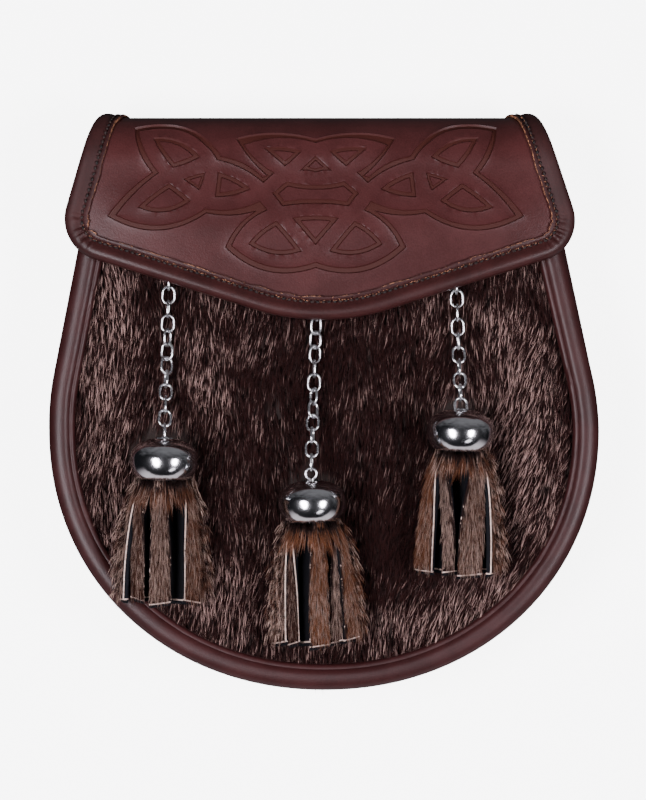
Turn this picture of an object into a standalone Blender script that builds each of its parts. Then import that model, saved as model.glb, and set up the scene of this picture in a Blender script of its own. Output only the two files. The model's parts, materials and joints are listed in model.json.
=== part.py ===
"""Sporran pouch of leather and fur hide, lying on its back.

+X is the wearer's left as seen from the front, +Y runs up to the top fold, +Z out of the fur front.
The lowest line of the back rim is at Z = 0 and the pouch is centred on X = 0 and Y = 0.
"""
import math

import bmesh
import bpy
from mathutils import Matrix, Vector

MM = 0.001

# Whole pouch
BODY_WIDTH = 192.0 * MM
TOTAL_HEIGHT = 200.4 * MM
BELLY_DROP = 90.5 * MM          # from the widest line down to the bottom
BELLY_POWER = 2.08              # superellipse power of the round bottom
SHOULDER_RADIUS = 92.0 * MM     # turn from the widest line into the straight sides
SIDE_LEAN = 0.215               # how far the straight sides draw in, for each unit of height
BODY_DEPTH = 32.0 * MM          # back rim to front rim, outside
CLEARANCE = 0.3 * MM

# Rolled rims, gusset and panels
RIM_WIDTH = 9.2 * MM
RIM_THICKNESS = 8.0 * MM
FRONT_EASE = 0.5 * MM           # the front frame is this much narrower on each side
FRONT_SKEW = 0.02               # the front frame and flap were sewn on leaning to the left
GUSSET_WALL = 1.8 * MM
GUSSET_INSET = 2.6 * MM         # gusset edge, in from the rims' outer line
GUSSET_BULGE = 1.4 * MM
BACK_WALL = 2.0 * MM
BACK_RECESS = 5.8 * MM          # back panel's outer face above the lowest line of the rim
HIDE_THICKNESS = 3.6 * MM       # fur hide with its nap
HIDE_EDGE_DROP = 3.4 * MM       # hide's face below the rim's crest, at the rim
HIDE_DOME = 2.2 * MM

# Flap
FLAP_WALL = 2.0 * MM
FLAP_TIP_ABOVE_CENTRE = 28.2 * MM
FLAP_V_ANGLE = math.radians(17.5)
FLAP_SIDE_ANGLE = math.radians(17.4)
FLAP_WIDTH_AT_FOLD = 167.0 * MM     # where the fold meets the flat front
FLAP_CORNER_RADIUS = 14.4 * MM
FLAP_TIP_RADIUS = 78.0 * MM
FLAP_CROWN = 3.5 * MM               # how far the flap stands up over the chains
FLAP_CROWN_REACH = 80.0 * MM        # half width at which it is down on the rim again
FLAP_CROWN_RUN = 24.0 * MM          # from the fold down to the full crown
FLAP_SEAT = 0.5 * MM                # air between the front rim and the binding
LAP_LENGTH = 16.0 * MM
LAP_WIDTH = 124.0 * MM
BODY_BELOW_FOLD = 2.4 * MM

# Binding round the flap's edge
BINDING_WALL = 1.1 * MM
BINDING_FACE = 8.1 * MM
BINDING_UNDER = 6.5 * MM
BINDING_ROLL = 0.9 * MM             # extra height of the padded lower edge

# Belt loops on the back
LOOP_SPACING = 92.0 * MM
LOOP_WIDTH = 22.0 * MM
LOOP_WALL = 1.4 * MM
LOOP_TUNNEL = 27.0 * MM             # clear height for the strap
LOOP_FOOT = 8.0 * MM
LOOP_RAMP = 3.5 * MM
LOOP_FOOT_BELOW_LAP = 2.0 * MM

# Chains
LINK_LENGTH = 6.75 * MM
LINK_WIDTH = 5.1 * MM
LINK_WIRE = 0.85 * MM
LINK_PLAY = 0.15 * MM
STAPLE_WIRE = 1.0 * MM
STAPLE_SPAN = 7.0 * MM
EYE_WIDTH = 4.7 * MM
EYE_WIRE = 0.84 * MM
CHAIN_LEVEL_SHARE = 0.42            # share of the chain that lies on the fur before it rises

# Caps and tassels
CAP_WIDTH = 23.5 * MM
CAP_ABOVE = 7.0 * MM                # from the widest ring up to the chain's hole
CAP_BELOW = 6.8 * MM                # and down to the mouth
CAP_WALL = 0.9 * MM
CAP_HOLE = 6.4 * MM
CAP_MOUTH = 17.8 * MM
TASSEL_DROP = math.radians(5.0)
TASSEL_LENGTH = 43.0 * MM           # below the cap
TASSEL_SPREAD = 27.6 * MM
TASSEL_THICKNESS = 12.0 * MM
TASSEL_HEAD_HEIGHT = 5.6 * MM
STRIPS = 8
STRIP_WIDTH = 7.4 * MM
STRIP_WALL = 1.8 * MM

# One row for each chain: where its staple stands (as shares of half the body's width and of the
# fold's height), which way it runs in degrees, how each link is turned about the chain (0 shows its
# face, 90 its edge), how its eye is turned and how far it stands out of the cap (as a share of the
# cap's upper part), and how far the tassel's strips are turned, as a share of one strip.
CHAINS = (
    {"side": "left", "staple_across": -0.5594, "staple_up": 0.5278, "lean": -1.45, "turn": -1.0,
     "rolls": (90, 0, 86, 0, 62, -28, 32, 102, 10, 95, 14, 95), "eye_roll": 8,
     "eye_out": -0.229, "strip_phase": 0.35},
    {"side": "centre", "staple_across": -0.0271, "staple_up": 0.3983, "lean": -1.85, "turn": 2.0,
     "rolls": (98, 38, -32, 32, 94, 0, -60, 45, -15, 80, 0, 85), "eye_roll": 0,
     "eye_out": 0.343, "strip_phase": 0.0},
    {"side": "right", "staple_across": 0.4771, "staple_up": 0.5133, "lean": 1.86, "turn": -1.9,
     "rolls": (90, 0, 90, 2, 94, 4, 96, 8, 98, 10), "eye_roll": 96,
     "eye_out": -0.371, "strip_phase": 0.6},
)

# Mesh fineness
BELLY_STEPS = 11
SHOULDER_STEPS = 2
SIDE_STEPS = 3
RIM_SIDES = 8
HIDE_TOP_STEPS = 6
LINK_SEGMENTS = 12
LINK_SIDES = 5
CAP_SIDES = 16
FOLD_STEPS = 8
FLAP_SIDE_STEPS = 2
FLAP_CORNER_STEPS = 6
FLAP_V_STEPS = 4
FLAP_TIP_STEPS = 2

# Levels that follow from the sizes above
HALF_BODY = BODY_WIDTH / 2
BELLY_Y = -TOTAL_HEIGHT / 2 + BELLY_DROP
SKIN = FLAP_WALL / 2 + CLEARANCE + BINDING_WALL        # from the flap's middle to the binding's face
FRONT_RIM_Z = BODY_DEPTH - RIM_THICKNESS / 2
BACK_RIM_Z = RIM_THICKNESS / 2
FLAP_FRONT_Z = BODY_DEPTH + FLAP_SEAT + SKIN
LAP_Z = BACK_RECESS - CLEARANCE - FLAP_WALL / 2
FOLD_RADIUS = (FLAP_FRONT_Z - LAP_Z) / 2
FOLD_Z = (FLAP_FRONT_Z + LAP_Z) / 2
FOLD_Y = TOTAL_HEIGHT / 2 - FOLD_RADIUS - SKIN
FOLD_RUN = math.pi * FOLD_RADIUS
BODY_TOP_Y = FOLD_Y - BODY_BELOW_FOLD
LAP_END_Y = FOLD_Y - LAP_LENGTH
CAP_RADIUS = CAP_WIDTH / 2
PITCH = LINK_LENGTH - 2 * LINK_WIRE - LINK_PLAY

COLOURS = {
    "leather": ((0.075, 0.028, 0.026, 1), 0.42, 0.0),
    "flap_leather": ((0.100, 0.042, 0.043, 1), 0.45, 0.0),
    "fur": ((0.045, 0.026, 0.020, 1), 0.80, 0.0),
    "tassel_fur": ((0.085, 0.040, 0.024, 1), 0.80, 0.0),
    "chrome": ((0.80, 0.80, 0.82, 1), 0.08, 1.0),
}


def clear_scene():
    for found in list(bpy.data.objects):
        bpy.data.objects.remove(found, do_unlink=True)


def new_collection(name):
    group = bpy.data.collections.new(name)
    bpy.context.scene.collection.children.link(group)
    return group


def material(name):
    found = bpy.data.materials.get(name)
    if found:
        return found
    colour, roughness, metallic = COLOURS[name]
    made = bpy.data.materials.new(name)
    made.use_nodes = True
    shader = made.node_tree.nodes["Principled BSDF"]
    shader.inputs["Base Color"].default_value = colour
    shader.inputs["Roughness"].default_value = roughness
    shader.inputs["Metallic"].default_value = metallic
    return made


def new_object(name, data, finish, group):
    made = bpy.data.objects.new(name, data)
    made.data.materials.append(material(finish))
    group.objects.link(made)
    return made


def smooth(data, angle=35.0):
    data.shade_smooth()
    data.set_sharp_from_angle(angle=math.radians(angle))


def lofted_mesh(name, rings):
    """A closed body through rings of points, with its ends capped."""
    shape = bmesh.new()
    rows = [[shape.verts.new(point) for point in ring] for ring in rings]
    count = len(rows[0])
    for here, there in zip(rows, rows[1:]):
        for i in range(count):
            j = (i + 1) % count
            shape.faces.new((here[i], here[j], there[j], there[i]))
    shape.faces.new(rows[0])
    shape.faces.new(list(reversed(rows[-1])))
    bmesh.ops.recalc_face_normals(shape, faces=shape.faces)
    data = bpy.data.meshes.new(name)
    shape.to_mesh(data)
    shape.free()
    smooth(data)
    return data


def grid_mesh(name, rows):
    """An open sheet through rows of points, all of one length."""
    shape = bmesh.new()
    made = [[shape.verts.new(point) for point in row] for row in rows]
    for here, there in zip(made, made[1:]):
        for i in range(len(here) - 1):
            shape.faces.new((here[i], here[i + 1], there[i + 1], there[i]))
    data = bpy.data.meshes.new(name)
    shape.to_mesh(data)
    shape.free()
    smooth(data)
    return data


def wire(name, points, thickness, finish, group):
    """A bent wire with filled ends."""
    curve = bpy.data.curves.new(name, "CURVE")
    curve.dimensions = "3D"
    curve.bevel_depth = thickness / 2
    curve.bevel_resolution = 1
    curve.use_fill_caps = True
    spline = curve.splines.new("POLY")
    spline.points.add(len(points) - 1)
    for point, place in zip(spline.points, points):
        point.co = (*place, 1.0)
    return new_object(name, curve, finish, group)


def ease(share):
    share = min(max(share, 0.0), 1.0)
    return share * share * (3 - 2 * share)


# Outline of the body

def half_outline():
    """Right half of the body's outer line, from the top of the side to the bottom point."""
    lean = math.atan(SIDE_LEAN)
    turn_x = HALF_BODY - SHOULDER_RADIUS * (1 - math.cos(lean))
    turn_y = BELLY_Y + SHOULDER_RADIUS * math.sin(lean)
    points = []
    for i in range(SIDE_STEPS):
        y = BODY_TOP_Y + (turn_y - BODY_TOP_Y) * i / SIDE_STEPS
        points.append((turn_x - (y - turn_y) * SIDE_LEAN, y))
    for i in range(SHOULDER_STEPS):
        angle = lean * (1 - i / SHOULDER_STEPS)
        points.append((HALF_BODY - SHOULDER_RADIUS * (1 - math.cos(angle)),
                       BELLY_Y + SHOULDER_RADIUS * math.sin(angle)))
    for i in range(BELLY_STEPS):
        angle = math.pi / 2 * i / BELLY_STEPS
        points.append((HALF_BODY * math.cos(angle) ** (2 / BELLY_POWER),
                       BELLY_Y - BELLY_DROP * math.sin(angle) ** (2 / BELLY_POWER)))
    points.append((0.0, BELLY_Y - BELLY_DROP))
    return points


def body_outline():
    """Whole outer line as pairs of a point and its inward normal, right top to left top."""
    right = half_outline()
    points = right + [(-x, y) for x, y in reversed(right[:-1])]
    line = []
    for i, (x, y) in enumerate(points):
        before = points[max(i - 1, 0)]
        after = points[min(i + 1, len(points) - 1)]
        run = Vector((after[0] - before[0], after[1] - before[1])).normalized()
        line.append((Vector((x, y)), Vector((run.y, -run.x))))
    return line


def front_place(x, y, share=1.0):
    """Where a point of the body's outline lies on the front frame; share 0 is the back frame."""
    eased = x * (1 - share * FRONT_EASE / HALF_BODY)
    return eased - share * FRONT_SKEW * max(0.0, y - BELLY_Y)


def inset_outline(distance, share):
    """Outline drawn in by a distance, with its ends cut level, on the back (0) or front (1) frame."""
    places = []
    for point, inward in body_outline():
        moved = point + inward * distance
        y = min(moved.y, BODY_TOP_Y)
        places.append((front_place(moved.x, y, share), y))
    return places


def hide_face_z(x, y):
    """Height of the fur hide's outer face."""
    across = 1 - (x / HALF_BODY) ** 2
    middle = -TOTAL_HEIGHT / 2 + RIM_WIDTH + (BODY_TOP_Y + TOTAL_HEIGHT / 2 - RIM_WIDTH) / 2
    along = 1 - ((y - middle) / (TOTAL_HEIGHT / 2)) ** 2
    return BODY_DEPTH - HIDE_EDGE_DROP + HIDE_DOME * max(across, 0.0) * max(along, 0.0)


# Body

def rim(name, centre_z, share, group):
    """A rolled leather rim: an oval section carried round the outline."""
    rings = []
    for point, inward in body_outline():
        ring = []
        for i in range(RIM_SIDES):
            angle = 2 * math.pi * (i + 0.5) / RIM_SIDES
            place = point + inward * RIM_WIDTH / 2 * (1 - math.cos(angle) / math.cos(math.pi / RIM_SIDES))
            height = centre_z + RIM_THICKNESS / 2 * math.sin(angle) / math.cos(math.pi / RIM_SIDES)
            y = min(place.y, BODY_TOP_Y)
            ring.append((front_place(place.x, y, share), y, height))
        rings.append(ring)
    return new_object(name, lofted_mesh(name, rings), "leather", group)


def gusset(group):
    """The side wall between the two rims, bulging a little."""
    low = RIM_THICKNESS + CLEARANCE
    high = BODY_DEPTH - RIM_THICKNESS - CLEARANCE
    levels = ((low, GUSSET_INSET), ((low + high) / 2, GUSSET_INSET - GUSSET_BULGE), (high, GUSSET_INSET))
    section = list(levels) + [(z, inset + GUSSET_WALL) for z, inset in reversed(levels)]
    rings = []
    for point, inward in body_outline():
        ring = []
        for z, inset in section:
            place = point + inward * inset
            y = min(place.y, BODY_TOP_Y)
            ring.append((front_place(place.x, y, (z - low) / (high - low)), y, z))
        rings.append(ring)
    return new_object("gusset", lofted_mesh("gusset", rings), "leather", group)


def back_panel(group):
    """Flat leather back, cut to lie inside the back rim."""
    curve = bpy.data.curves.new("back_panel", "CURVE")
    curve.dimensions = "2D"
    curve.fill_mode = "BOTH"
    curve.extrude = BACK_WALL / 2
    outline = inset_outline(RIM_WIDTH, 0.0)
    spline = curve.splines.new("POLY")
    spline.points.add(len(outline) - 1)
    for point, (x, y) in zip(spline.points, outline):
        point.co = (x, y, 0.0, 1.0)
    spline.use_cyclic_u = True
    made = new_object("back_panel", curve, "leather", group)
    made.location.z = BACK_RECESS + BACK_WALL / 2
    return made


def front_panel(group):
    """Fur hide, domed a little, inside the front rim."""
    outline = inset_outline(RIM_WIDTH + CLEARANCE, 1.0)
    top_left, top_right = outline[-1], outline[0]
    for i in range(1, HIDE_TOP_STEPS):
        share = i / HIDE_TOP_STEPS
        outline.append((top_left[0] + (top_right[0] - top_left[0]) * share, BODY_TOP_Y))
    centre = Vector((sum(x for x, y in outline) / len(outline), sum(y for x, y in outline) / len(outline)))
    shape = bmesh.new()
    rows = []
    for share in (1.0, 0.78, 0.5, 0.22):
        row = []
        for x, y in outline:
            place = centre + (Vector((x, y)) - centre) * share
            row.append(shape.verts.new((*place, hide_face_z(*place))))
        rows.append(row)
    count = len(outline)
    for outer, inner in zip(rows, rows[1:]):
        for i in range(count):
            j = (i + 1) % count
            shape.faces.new((outer[i], inner[i], inner[j], outer[j]))
    middle = shape.verts.new((*centre, hide_face_z(*centre)))
    for i in range(count):
        shape.faces.new((rows[-1][i], middle, rows[-1][(i + 1) % count]))
    data = bpy.data.meshes.new("front_panel")
    shape.to_mesh(data)
    shape.free()
    smooth(data)
    made = new_object("front_panel", data, "fur", group)
    wall = made.modifiers.new("hide", "SOLIDIFY")
    wall.thickness = HIDE_THICKNESS
    wall.offset = -1.0
    return made


# Flap, drawn flat and then folded over the top. u runs across it; v runs down the front from the
# fold's front edge, and is negative over the fold and on the lap behind.

FLAP_TIP_V = FOLD_Y - FLAP_TIP_ABOVE_CENTRE
HALF_FLAP_AT_FOLD = FLAP_WIDTH_AT_FOLD / 2


def flap_corner_centre():
    """Centre of the lower corner's arc: as far from the side line as from the V line."""
    side_in = Vector((-math.cos(FLAP_SIDE_ANGLE), math.sin(FLAP_SIDE_ANGLE)))
    v_in = Vector((-math.sin(FLAP_V_ANGLE), -math.cos(FLAP_V_ANGLE)))
    on_side = Vector((HALF_FLAP_AT_FOLD, 0.0)) + side_in * FLAP_CORNER_RADIUS
    tip_centre = Vector((0.0, FLAP_TIP_V - FLAP_TIP_RADIUS))
    on_v = tip_centre - v_in * (FLAP_TIP_RADIUS - FLAP_CORNER_RADIUS)
    side_run = Vector((math.sin(FLAP_SIDE_ANGLE), math.cos(FLAP_SIDE_ANGLE)))
    # Walk down the side's inner line until it meets the V's inner line.
    reach = (on_v - on_side).dot(v_in) / side_run.dot(v_in)
    return on_side + side_run * reach


def flap_place(u, v, out):
    """A point of the folded flap, lying out from its middle by a distance."""
    if v >= 0:
        crown = FLAP_CROWN * ease(v / FLAP_CROWN_RUN) * (1 - (u / FLAP_CROWN_REACH) ** 4)
        y, z = FOLD_Y - v, FLAP_FRONT_Z + crown + out
    elif v > -FOLD_RUN:
        angle = -v / FOLD_RADIUS
        y = FOLD_Y + (FOLD_RADIUS + out) * math.sin(angle)
        z = FOLD_Z + (FOLD_RADIUS + out) * math.cos(angle)
    else:
        y, z = FOLD_Y + v + FOLD_RUN, LAP_Z - out
    return Vector((front_place(u, y), y, z))


def flap_edge():
    """Right half of the flap's outline from the fold's back edge to the tip.

    Each station has its point, the way in from the edge and the share of the padded roll there.
    On the straight side the way in is level, so that stations there lie along the fold.
    """
    corner = flap_corner_centre()
    side_out = Vector((math.cos(FLAP_SIDE_ANGLE), -math.sin(FLAP_SIDE_ANGLE)))
    v_out = Vector((math.sin(FLAP_V_ANGLE), math.cos(FLAP_V_ANGLE)))
    level_in = Vector((-1 / math.cos(FLAP_SIDE_ANGLE), 0.0))
    corner_start_v = (corner + side_out * FLAP_CORNER_RADIUS).y
    edge = []
    fold_start = -FOLD_RUN + FLAP_WALL / 2
    levels = [fold_start * (1 - step / FOLD_STEPS) for step in range(FOLD_STEPS)]
    levels += [corner_start_v * step / FLAP_SIDE_STEPS for step in range(FLAP_SIDE_STEPS)]
    for v in levels:
        edge.append((Vector((HALF_FLAP_AT_FOLD + v * math.tan(FLAP_SIDE_ANGLE), v)), level_in, 0.0))
    first = -FLAP_SIDE_ANGLE
    last = math.pi / 2 - FLAP_V_ANGLE
    for step in range(FLAP_CORNER_STEPS):
        share = step / FLAP_CORNER_STEPS
        angle = first + (last - first) * share
        out = Vector((math.cos(angle), math.sin(angle)))
        edge.append((corner + out * FLAP_CORNER_RADIUS, -out, ease(share)))
    tip_centre = Vector((0.0, FLAP_TIP_V - FLAP_TIP_RADIUS))
    v_start = corner + v_out * FLAP_CORNER_RADIUS
    v_end = tip_centre + v_out * FLAP_TIP_RADIUS
    for step in range(FLAP_V_STEPS):
        edge.append((v_start.lerp(v_end, step / FLAP_V_STEPS), -v_out, 1.0))
    for step in range(FLAP_TIP_STEPS + 1):
        angle = FLAP_V_ANGLE * (1 - step / FLAP_TIP_STEPS)
        out = Vector((math.sin(angle), math.cos(angle)))
        edge.append((tip_centre + out * FLAP_TIP_RADIUS, -out, 1.0))
    return edge


def flap(group):
    """The leather flap: a lap on the back, the fold over the top and the pointed front.

    Its rows start at the stations down the side, and its columns end at those along the bottom.
    """
    inset = BINDING_WALL + CLEARANCE
    places = [point + inward * inset for point, inward, roll in flap_edge()]
    turn = FOLD_STEPS + FLAP_SIDE_STEPS + FLAP_CORNER_STEPS // 2
    corner_u, corner_v = places[turn]
    columns = [(place.x / corner_u, place.y / corner_v) for place in places[turn:]]
    columns += [(-share, drop) for share, drop in reversed(columns[:-1])]
    rows = []
    for v in (-FOLD_RUN - LAP_LENGTH, -FOLD_RUN - FLAP_WALL / 2):
        rows.append([flap_place(share * LAP_WIDTH / 2, v, 0.0) for share, drop in columns])
    for half, v in places[:turn + 1]:
        row = []
        for share, drop in columns:
            row.append(flap_place(share * half, v * drop if v > 0 else v, 0.0))
        rows.append(row)
    made = new_object("flap", grid_mesh("flap", rows), "flap_leather", group)
    wall = made.modifiers.new("wall", "SOLIDIFY")
    wall.thickness = FLAP_WALL
    wall.offset = 0.0
    return made


def flap_binding(group):
    """Folded strip over the flap's edge, padded to a roll along the lower edge."""
    right = flap_edge()
    left = [(Vector((-p.x, p.y)), Vector((-n.x, n.y)), roll) for p, n, roll in reversed(right[:-1])]
    inner = FLAP_WALL / 2 + CLEARANCE
    rings = []
    for point, inward, roll in right + left:
        lift = BINDING_ROLL * roll
        section = (
            (BINDING_FACE, inner),
            (BINDING_FACE, SKIN),
            (BINDING_FACE * 0.66, SKIN + lift * 0.5),
            (BINDING_FACE * 0.30, SKIN + lift),
            (BINDING_FACE * 0.06, SKIN * 0.72 + lift * 0.5),
            (0.0, 0.0),
            (BINDING_FACE * 0.06, -SKIN * 0.72),
            (BINDING_FACE * 0.24, -SKIN),
            (BINDING_UNDER, -SKIN),
            (BINDING_UNDER, -inner),
            (BINDING_WALL, -inner),
            (BINDING_WALL, inner),
        )
        ring = []
        for depth, out in section:
            place = point + inward * depth
            ring.append(flap_place(place.x, place.y, out))
        rings.append(ring)
    return new_object("flap_binding", lofted_mesh("flap_binding", rings), "leather", group)


def belt_loop(side, sign, group):
    """A leather strip sewn at both ends that leaves a tunnel for the belt."""
    foot_top = BACK_RECESS - CLEARANCE
    upper_end = LAP_END_Y - LOOP_FOOT_BELOW_LAP
    steps = (
        (0.0, foot_top - LOOP_WALL),
        (LOOP_FOOT, foot_top - LOOP_WALL),
        (LOOP_FOOT + LOOP_RAMP, 0.0),
        (LOOP_FOOT + LOOP_RAMP + LOOP_TUNNEL, 0.0),
        (LOOP_FOOT + 2 * LOOP_RAMP + LOOP_TUNNEL, foot_top - LOOP_WALL),
        (2 * LOOP_FOOT + 2 * LOOP_RAMP + LOOP_TUNNEL, foot_top - LOOP_WALL),
    )
    # The inner line of each bend is drawn in so that the wall keeps its thickness on the ramps.
    slope = math.atan2(foot_top - LOOP_WALL, LOOP_RAMP)
    draw = LOOP_WALL * math.tan(slope / 2)
    shifts = (0.0, draw, draw, -draw, -draw, 0.0)
    outer = [(upper_end - run, z) for run, z in steps]
    inner = [(upper_end - run - shift, z + LOOP_WALL) for (run, z), shift in zip(steps, shifts)]
    section = outer + list(reversed(inner))
    centre = sign * LOOP_SPACING / 2
    rings = [[(centre + edge * LOOP_WIDTH / 2, y, z) for y, z in section] for edge in (-1, 1)]
    name = "belt_loop_" + side
    return new_object(name, lofted_mesh(name, rings), "leather", group)


# Chains, caps and tassels

def link_mesh():
    """An oval link: a ring whose two halves are moved apart."""
    ring = LINK_WIDTH / 2 - LINK_WIRE / 2
    apart = (LINK_LENGTH - LINK_WIDTH) / 2
    bpy.ops.mesh.primitive_torus_add(major_segments=LINK_SEGMENTS, minor_segments=LINK_SIDES,
                                     major_radius=ring, minor_radius=LINK_WIRE / 2)
    made = bpy.context.object
    data = made.data
    tiny = LINK_WIRE / 100
    for vertex in data.vertices:
        if abs(vertex.co.y) > tiny:
            vertex.co.y += math.copysign(apart, vertex.co.y)
    bpy.data.objects.remove(made, do_unlink=True)
    data.name = "chain_link"
    data.materials.append(material("chrome"))
    data.shade_smooth()
    return data


def chain_length(row):
    """From the staple's bar to the middle of the tassel's eye."""
    first = LINK_LENGTH / 2 - LINK_WIRE - LINK_PLAY - STAPLE_WIRE / 2
    last = LINK_LENGTH / 2 - LINK_WIRE - LINK_PLAY + EYE_WIDTH / 2 - EYE_WIRE
    return first + (len(row["rolls"]) - 1) * PITCH + last


def chain_level():
    return LINK_WIDTH / 2 + CLEARANCE


def eye_height(row):
    """Middle of the eye above the cap's widest ring, along the tassel."""
    return CAP_ABOVE * (1 + row["eye_out"])


def staple_place(row):
    return Vector((HALF_BODY * row["staple_across"], FOLD_Y * row["staple_up"]))


def chain_line(row):
    """The chain's middle line as close points: level on the fur, then rising to the cap."""
    steps = 400
    total = chain_length(row)
    low = chain_level()
    high = CAP_RADIUS + CLEARANCE + math.sin(TASSEL_DROP) * eye_height(row)
    lean = math.radians(row["lean"])
    way = Vector((math.sin(lean), -math.cos(lean)))
    place = staple_place(row)
    step = total / steps
    line = [Vector((*place, hide_face_z(*place) + low))]
    for i in range(1, steps + 40):
        share = (i / steps - CHAIN_LEVEL_SHARE) / (1 - CHAIN_LEVEL_SHARE)
        ahead = place + way * step
        z = hide_face_z(*ahead) + low + (high - low) * ease(share)
        rise = z - line[-1].z
        place = place + way * math.sqrt(max(step ** 2 - rise ** 2, 0.0))
        line.append(Vector((*place, z)))
    return line, step


def line_point(line, step, distance):
    share = min(max(distance / step, 0.0), len(line) - 1.001)
    i = int(share)
    return line[i].lerp(line[i + 1], share - i)


def turned_frame(place, along, roll):
    """Matrix with local Y back along the chain and local Z turned from +Z by the roll."""
    up = -along.normalized()
    side = up.cross(Vector((0, 0, 1))).normalized()
    face = side.cross(up).normalized()
    turned = Matrix.Rotation(math.radians(roll), 3, up)
    side, face = turned @ side, turned @ face
    frame = Matrix((side, up, face)).transposed().to_4x4()
    frame.translation = place
    return frame


def staple(row, group):
    """Bent wire on the hide, hidden under the flap, that holds the first link."""
    x, y = staple_place(row)
    base = hide_face_z(x, y) + CLEARANCE
    top = hide_face_z(x, y) + chain_level()
    half = STAPLE_SPAN / 2
    bend = STAPLE_WIRE
    points = [(x - half, y, base), (x - half, y, top - bend), (x - half + bend, y, top),
              (x + half - bend, y, top), (x + half, y, top - bend), (x + half, y, base)]
    return wire("staple_" + row["side"], points, STAPLE_WIRE, "chrome", group)


def tassel_frame(row, line, step):
    """Matrix at the cap's widest ring, local Y up along the tassel to the chain."""
    eye = line_point(line, step, chain_length(row))
    turn = math.radians(row["turn"])
    down = Vector((math.sin(turn) * math.cos(TASSEL_DROP), -math.cos(turn) * math.cos(TASSEL_DROP),
                   -math.sin(TASSEL_DROP)))
    return turned_frame(eye + down * eye_height(row), down, 0.0)


def tassel_eye(row, frame, group):
    """Wire bent to a loop over the cap, with both legs going down into the tassel."""
    ring = EYE_WIDTH / 2 - EYE_WIRE / 2
    leg_gap = EYE_WIRE * 1.4
    spread = math.asin(leg_gap / 2 / ring)
    bottom = -(CAP_BELOW - TASSEL_HEAD_HEIGHT) + 2 * CLEARANCE
    height = eye_height(row)
    points = [(-leg_gap / 2, bottom, 0.0)]
    steps = 10
    for i in range(steps + 1):
        angle = -math.pi / 2 - spread - (2 * math.pi - 2 * spread) * i / steps
        points.append((ring * math.cos(angle), height + ring * math.sin(angle), 0.0))
    points.append((leg_gap / 2, bottom, 0.0))
    turn = Matrix.Rotation(math.radians(row["eye_roll"]), 4, "Y")
    made = wire("tassel_eye_" + row["side"], points, EYE_WIRE, "chrome", group)
    made.matrix_world = frame @ turn
    return made


def cap_profile():
    """Section of the chrome cap: outer skin from the hole to the mouth, then the inner skin."""
    def half_line(radius, edge, reach, power, count, upward):
        """Superellipse from the widest ring to the edge of the hole or mouth."""
        full = reach / (1 - (edge / radius) ** power) ** (1 / power)
        last = math.asin(min((reach / full) ** (power / 2), 1.0))
        points = []
        for i in range(count + 1):
            angle = last * i / count
            r = radius * math.cos(angle) ** (2 / power)
            h = full * math.sin(angle) ** (2 / power)
            points.append((r, h if upward else -h))
        return points

    def skin(wall):
        radius = CAP_RADIUS - wall
        above = half_line(radius, CAP_HOLE / 2, CAP_ABOVE - wall, 2.2, 4, True)
        below = half_line(radius, CAP_MOUTH / 2, CAP_BELOW, 2.4, 3, False)
        return list(reversed(above)) + below[1:]

    # The mouth's inner edge is drawn in so that the rim of the cap keeps a face.
    outer = skin(0.0)
    inner = skin(CAP_WALL)
    inner[-1] = (CAP_MOUTH / 2 - CAP_WALL / 3, inner[-1][1] + CAP_WALL / 3)
    return outer + list(reversed(inner))


def tassel_cap(row, frame, group):
    name = "tassel_cap_" + row["side"]
    shape = bmesh.new()
    points = [shape.verts.new((r, 0.0, h)) for r, h in cap_profile()]
    for i, point in enumerate(points):
        shape.edges.new((point, points[(i + 1) % len(points)]))
    data = bpy.data.meshes.new(name)
    shape.to_mesh(data)
    shape.free()
    made = new_object(name, data, "chrome", group)
    turn = made.modifiers.new("turned", "SCREW")
    turn.steps = CAP_SIDES
    turn.render_steps = CAP_SIDES
    turn.use_merge_vertices = True
    turn.merge_threshold = 0.00001
    made.matrix_world = frame @ Matrix.Rotation(-math.pi / 2, 4, "X")
    return made


def oval_stations(half_wide, half_thick, count, phase):
    """Points spaced evenly round an oval, each with the direction of the oval there."""
    fine = 720
    points = [Vector((half_wide * math.cos(2 * math.pi * i / fine),
                      half_thick * math.sin(2 * math.pi * i / fine))) for i in range(fine + 1)]
    lengths = [0.0]
    for here, there in zip(points, points[1:]):
        lengths.append(lengths[-1] + (there - here).length)
    stations = []
    for k in range(count):
        wanted = lengths[-1] * ((k + phase) / count % 1.0)
        i = next(j for j in range(fine) if lengths[j + 1] >= wanted)
        stations.append((points[i], (points[i + 1] - points[i]).normalized()))
    return stations


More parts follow.
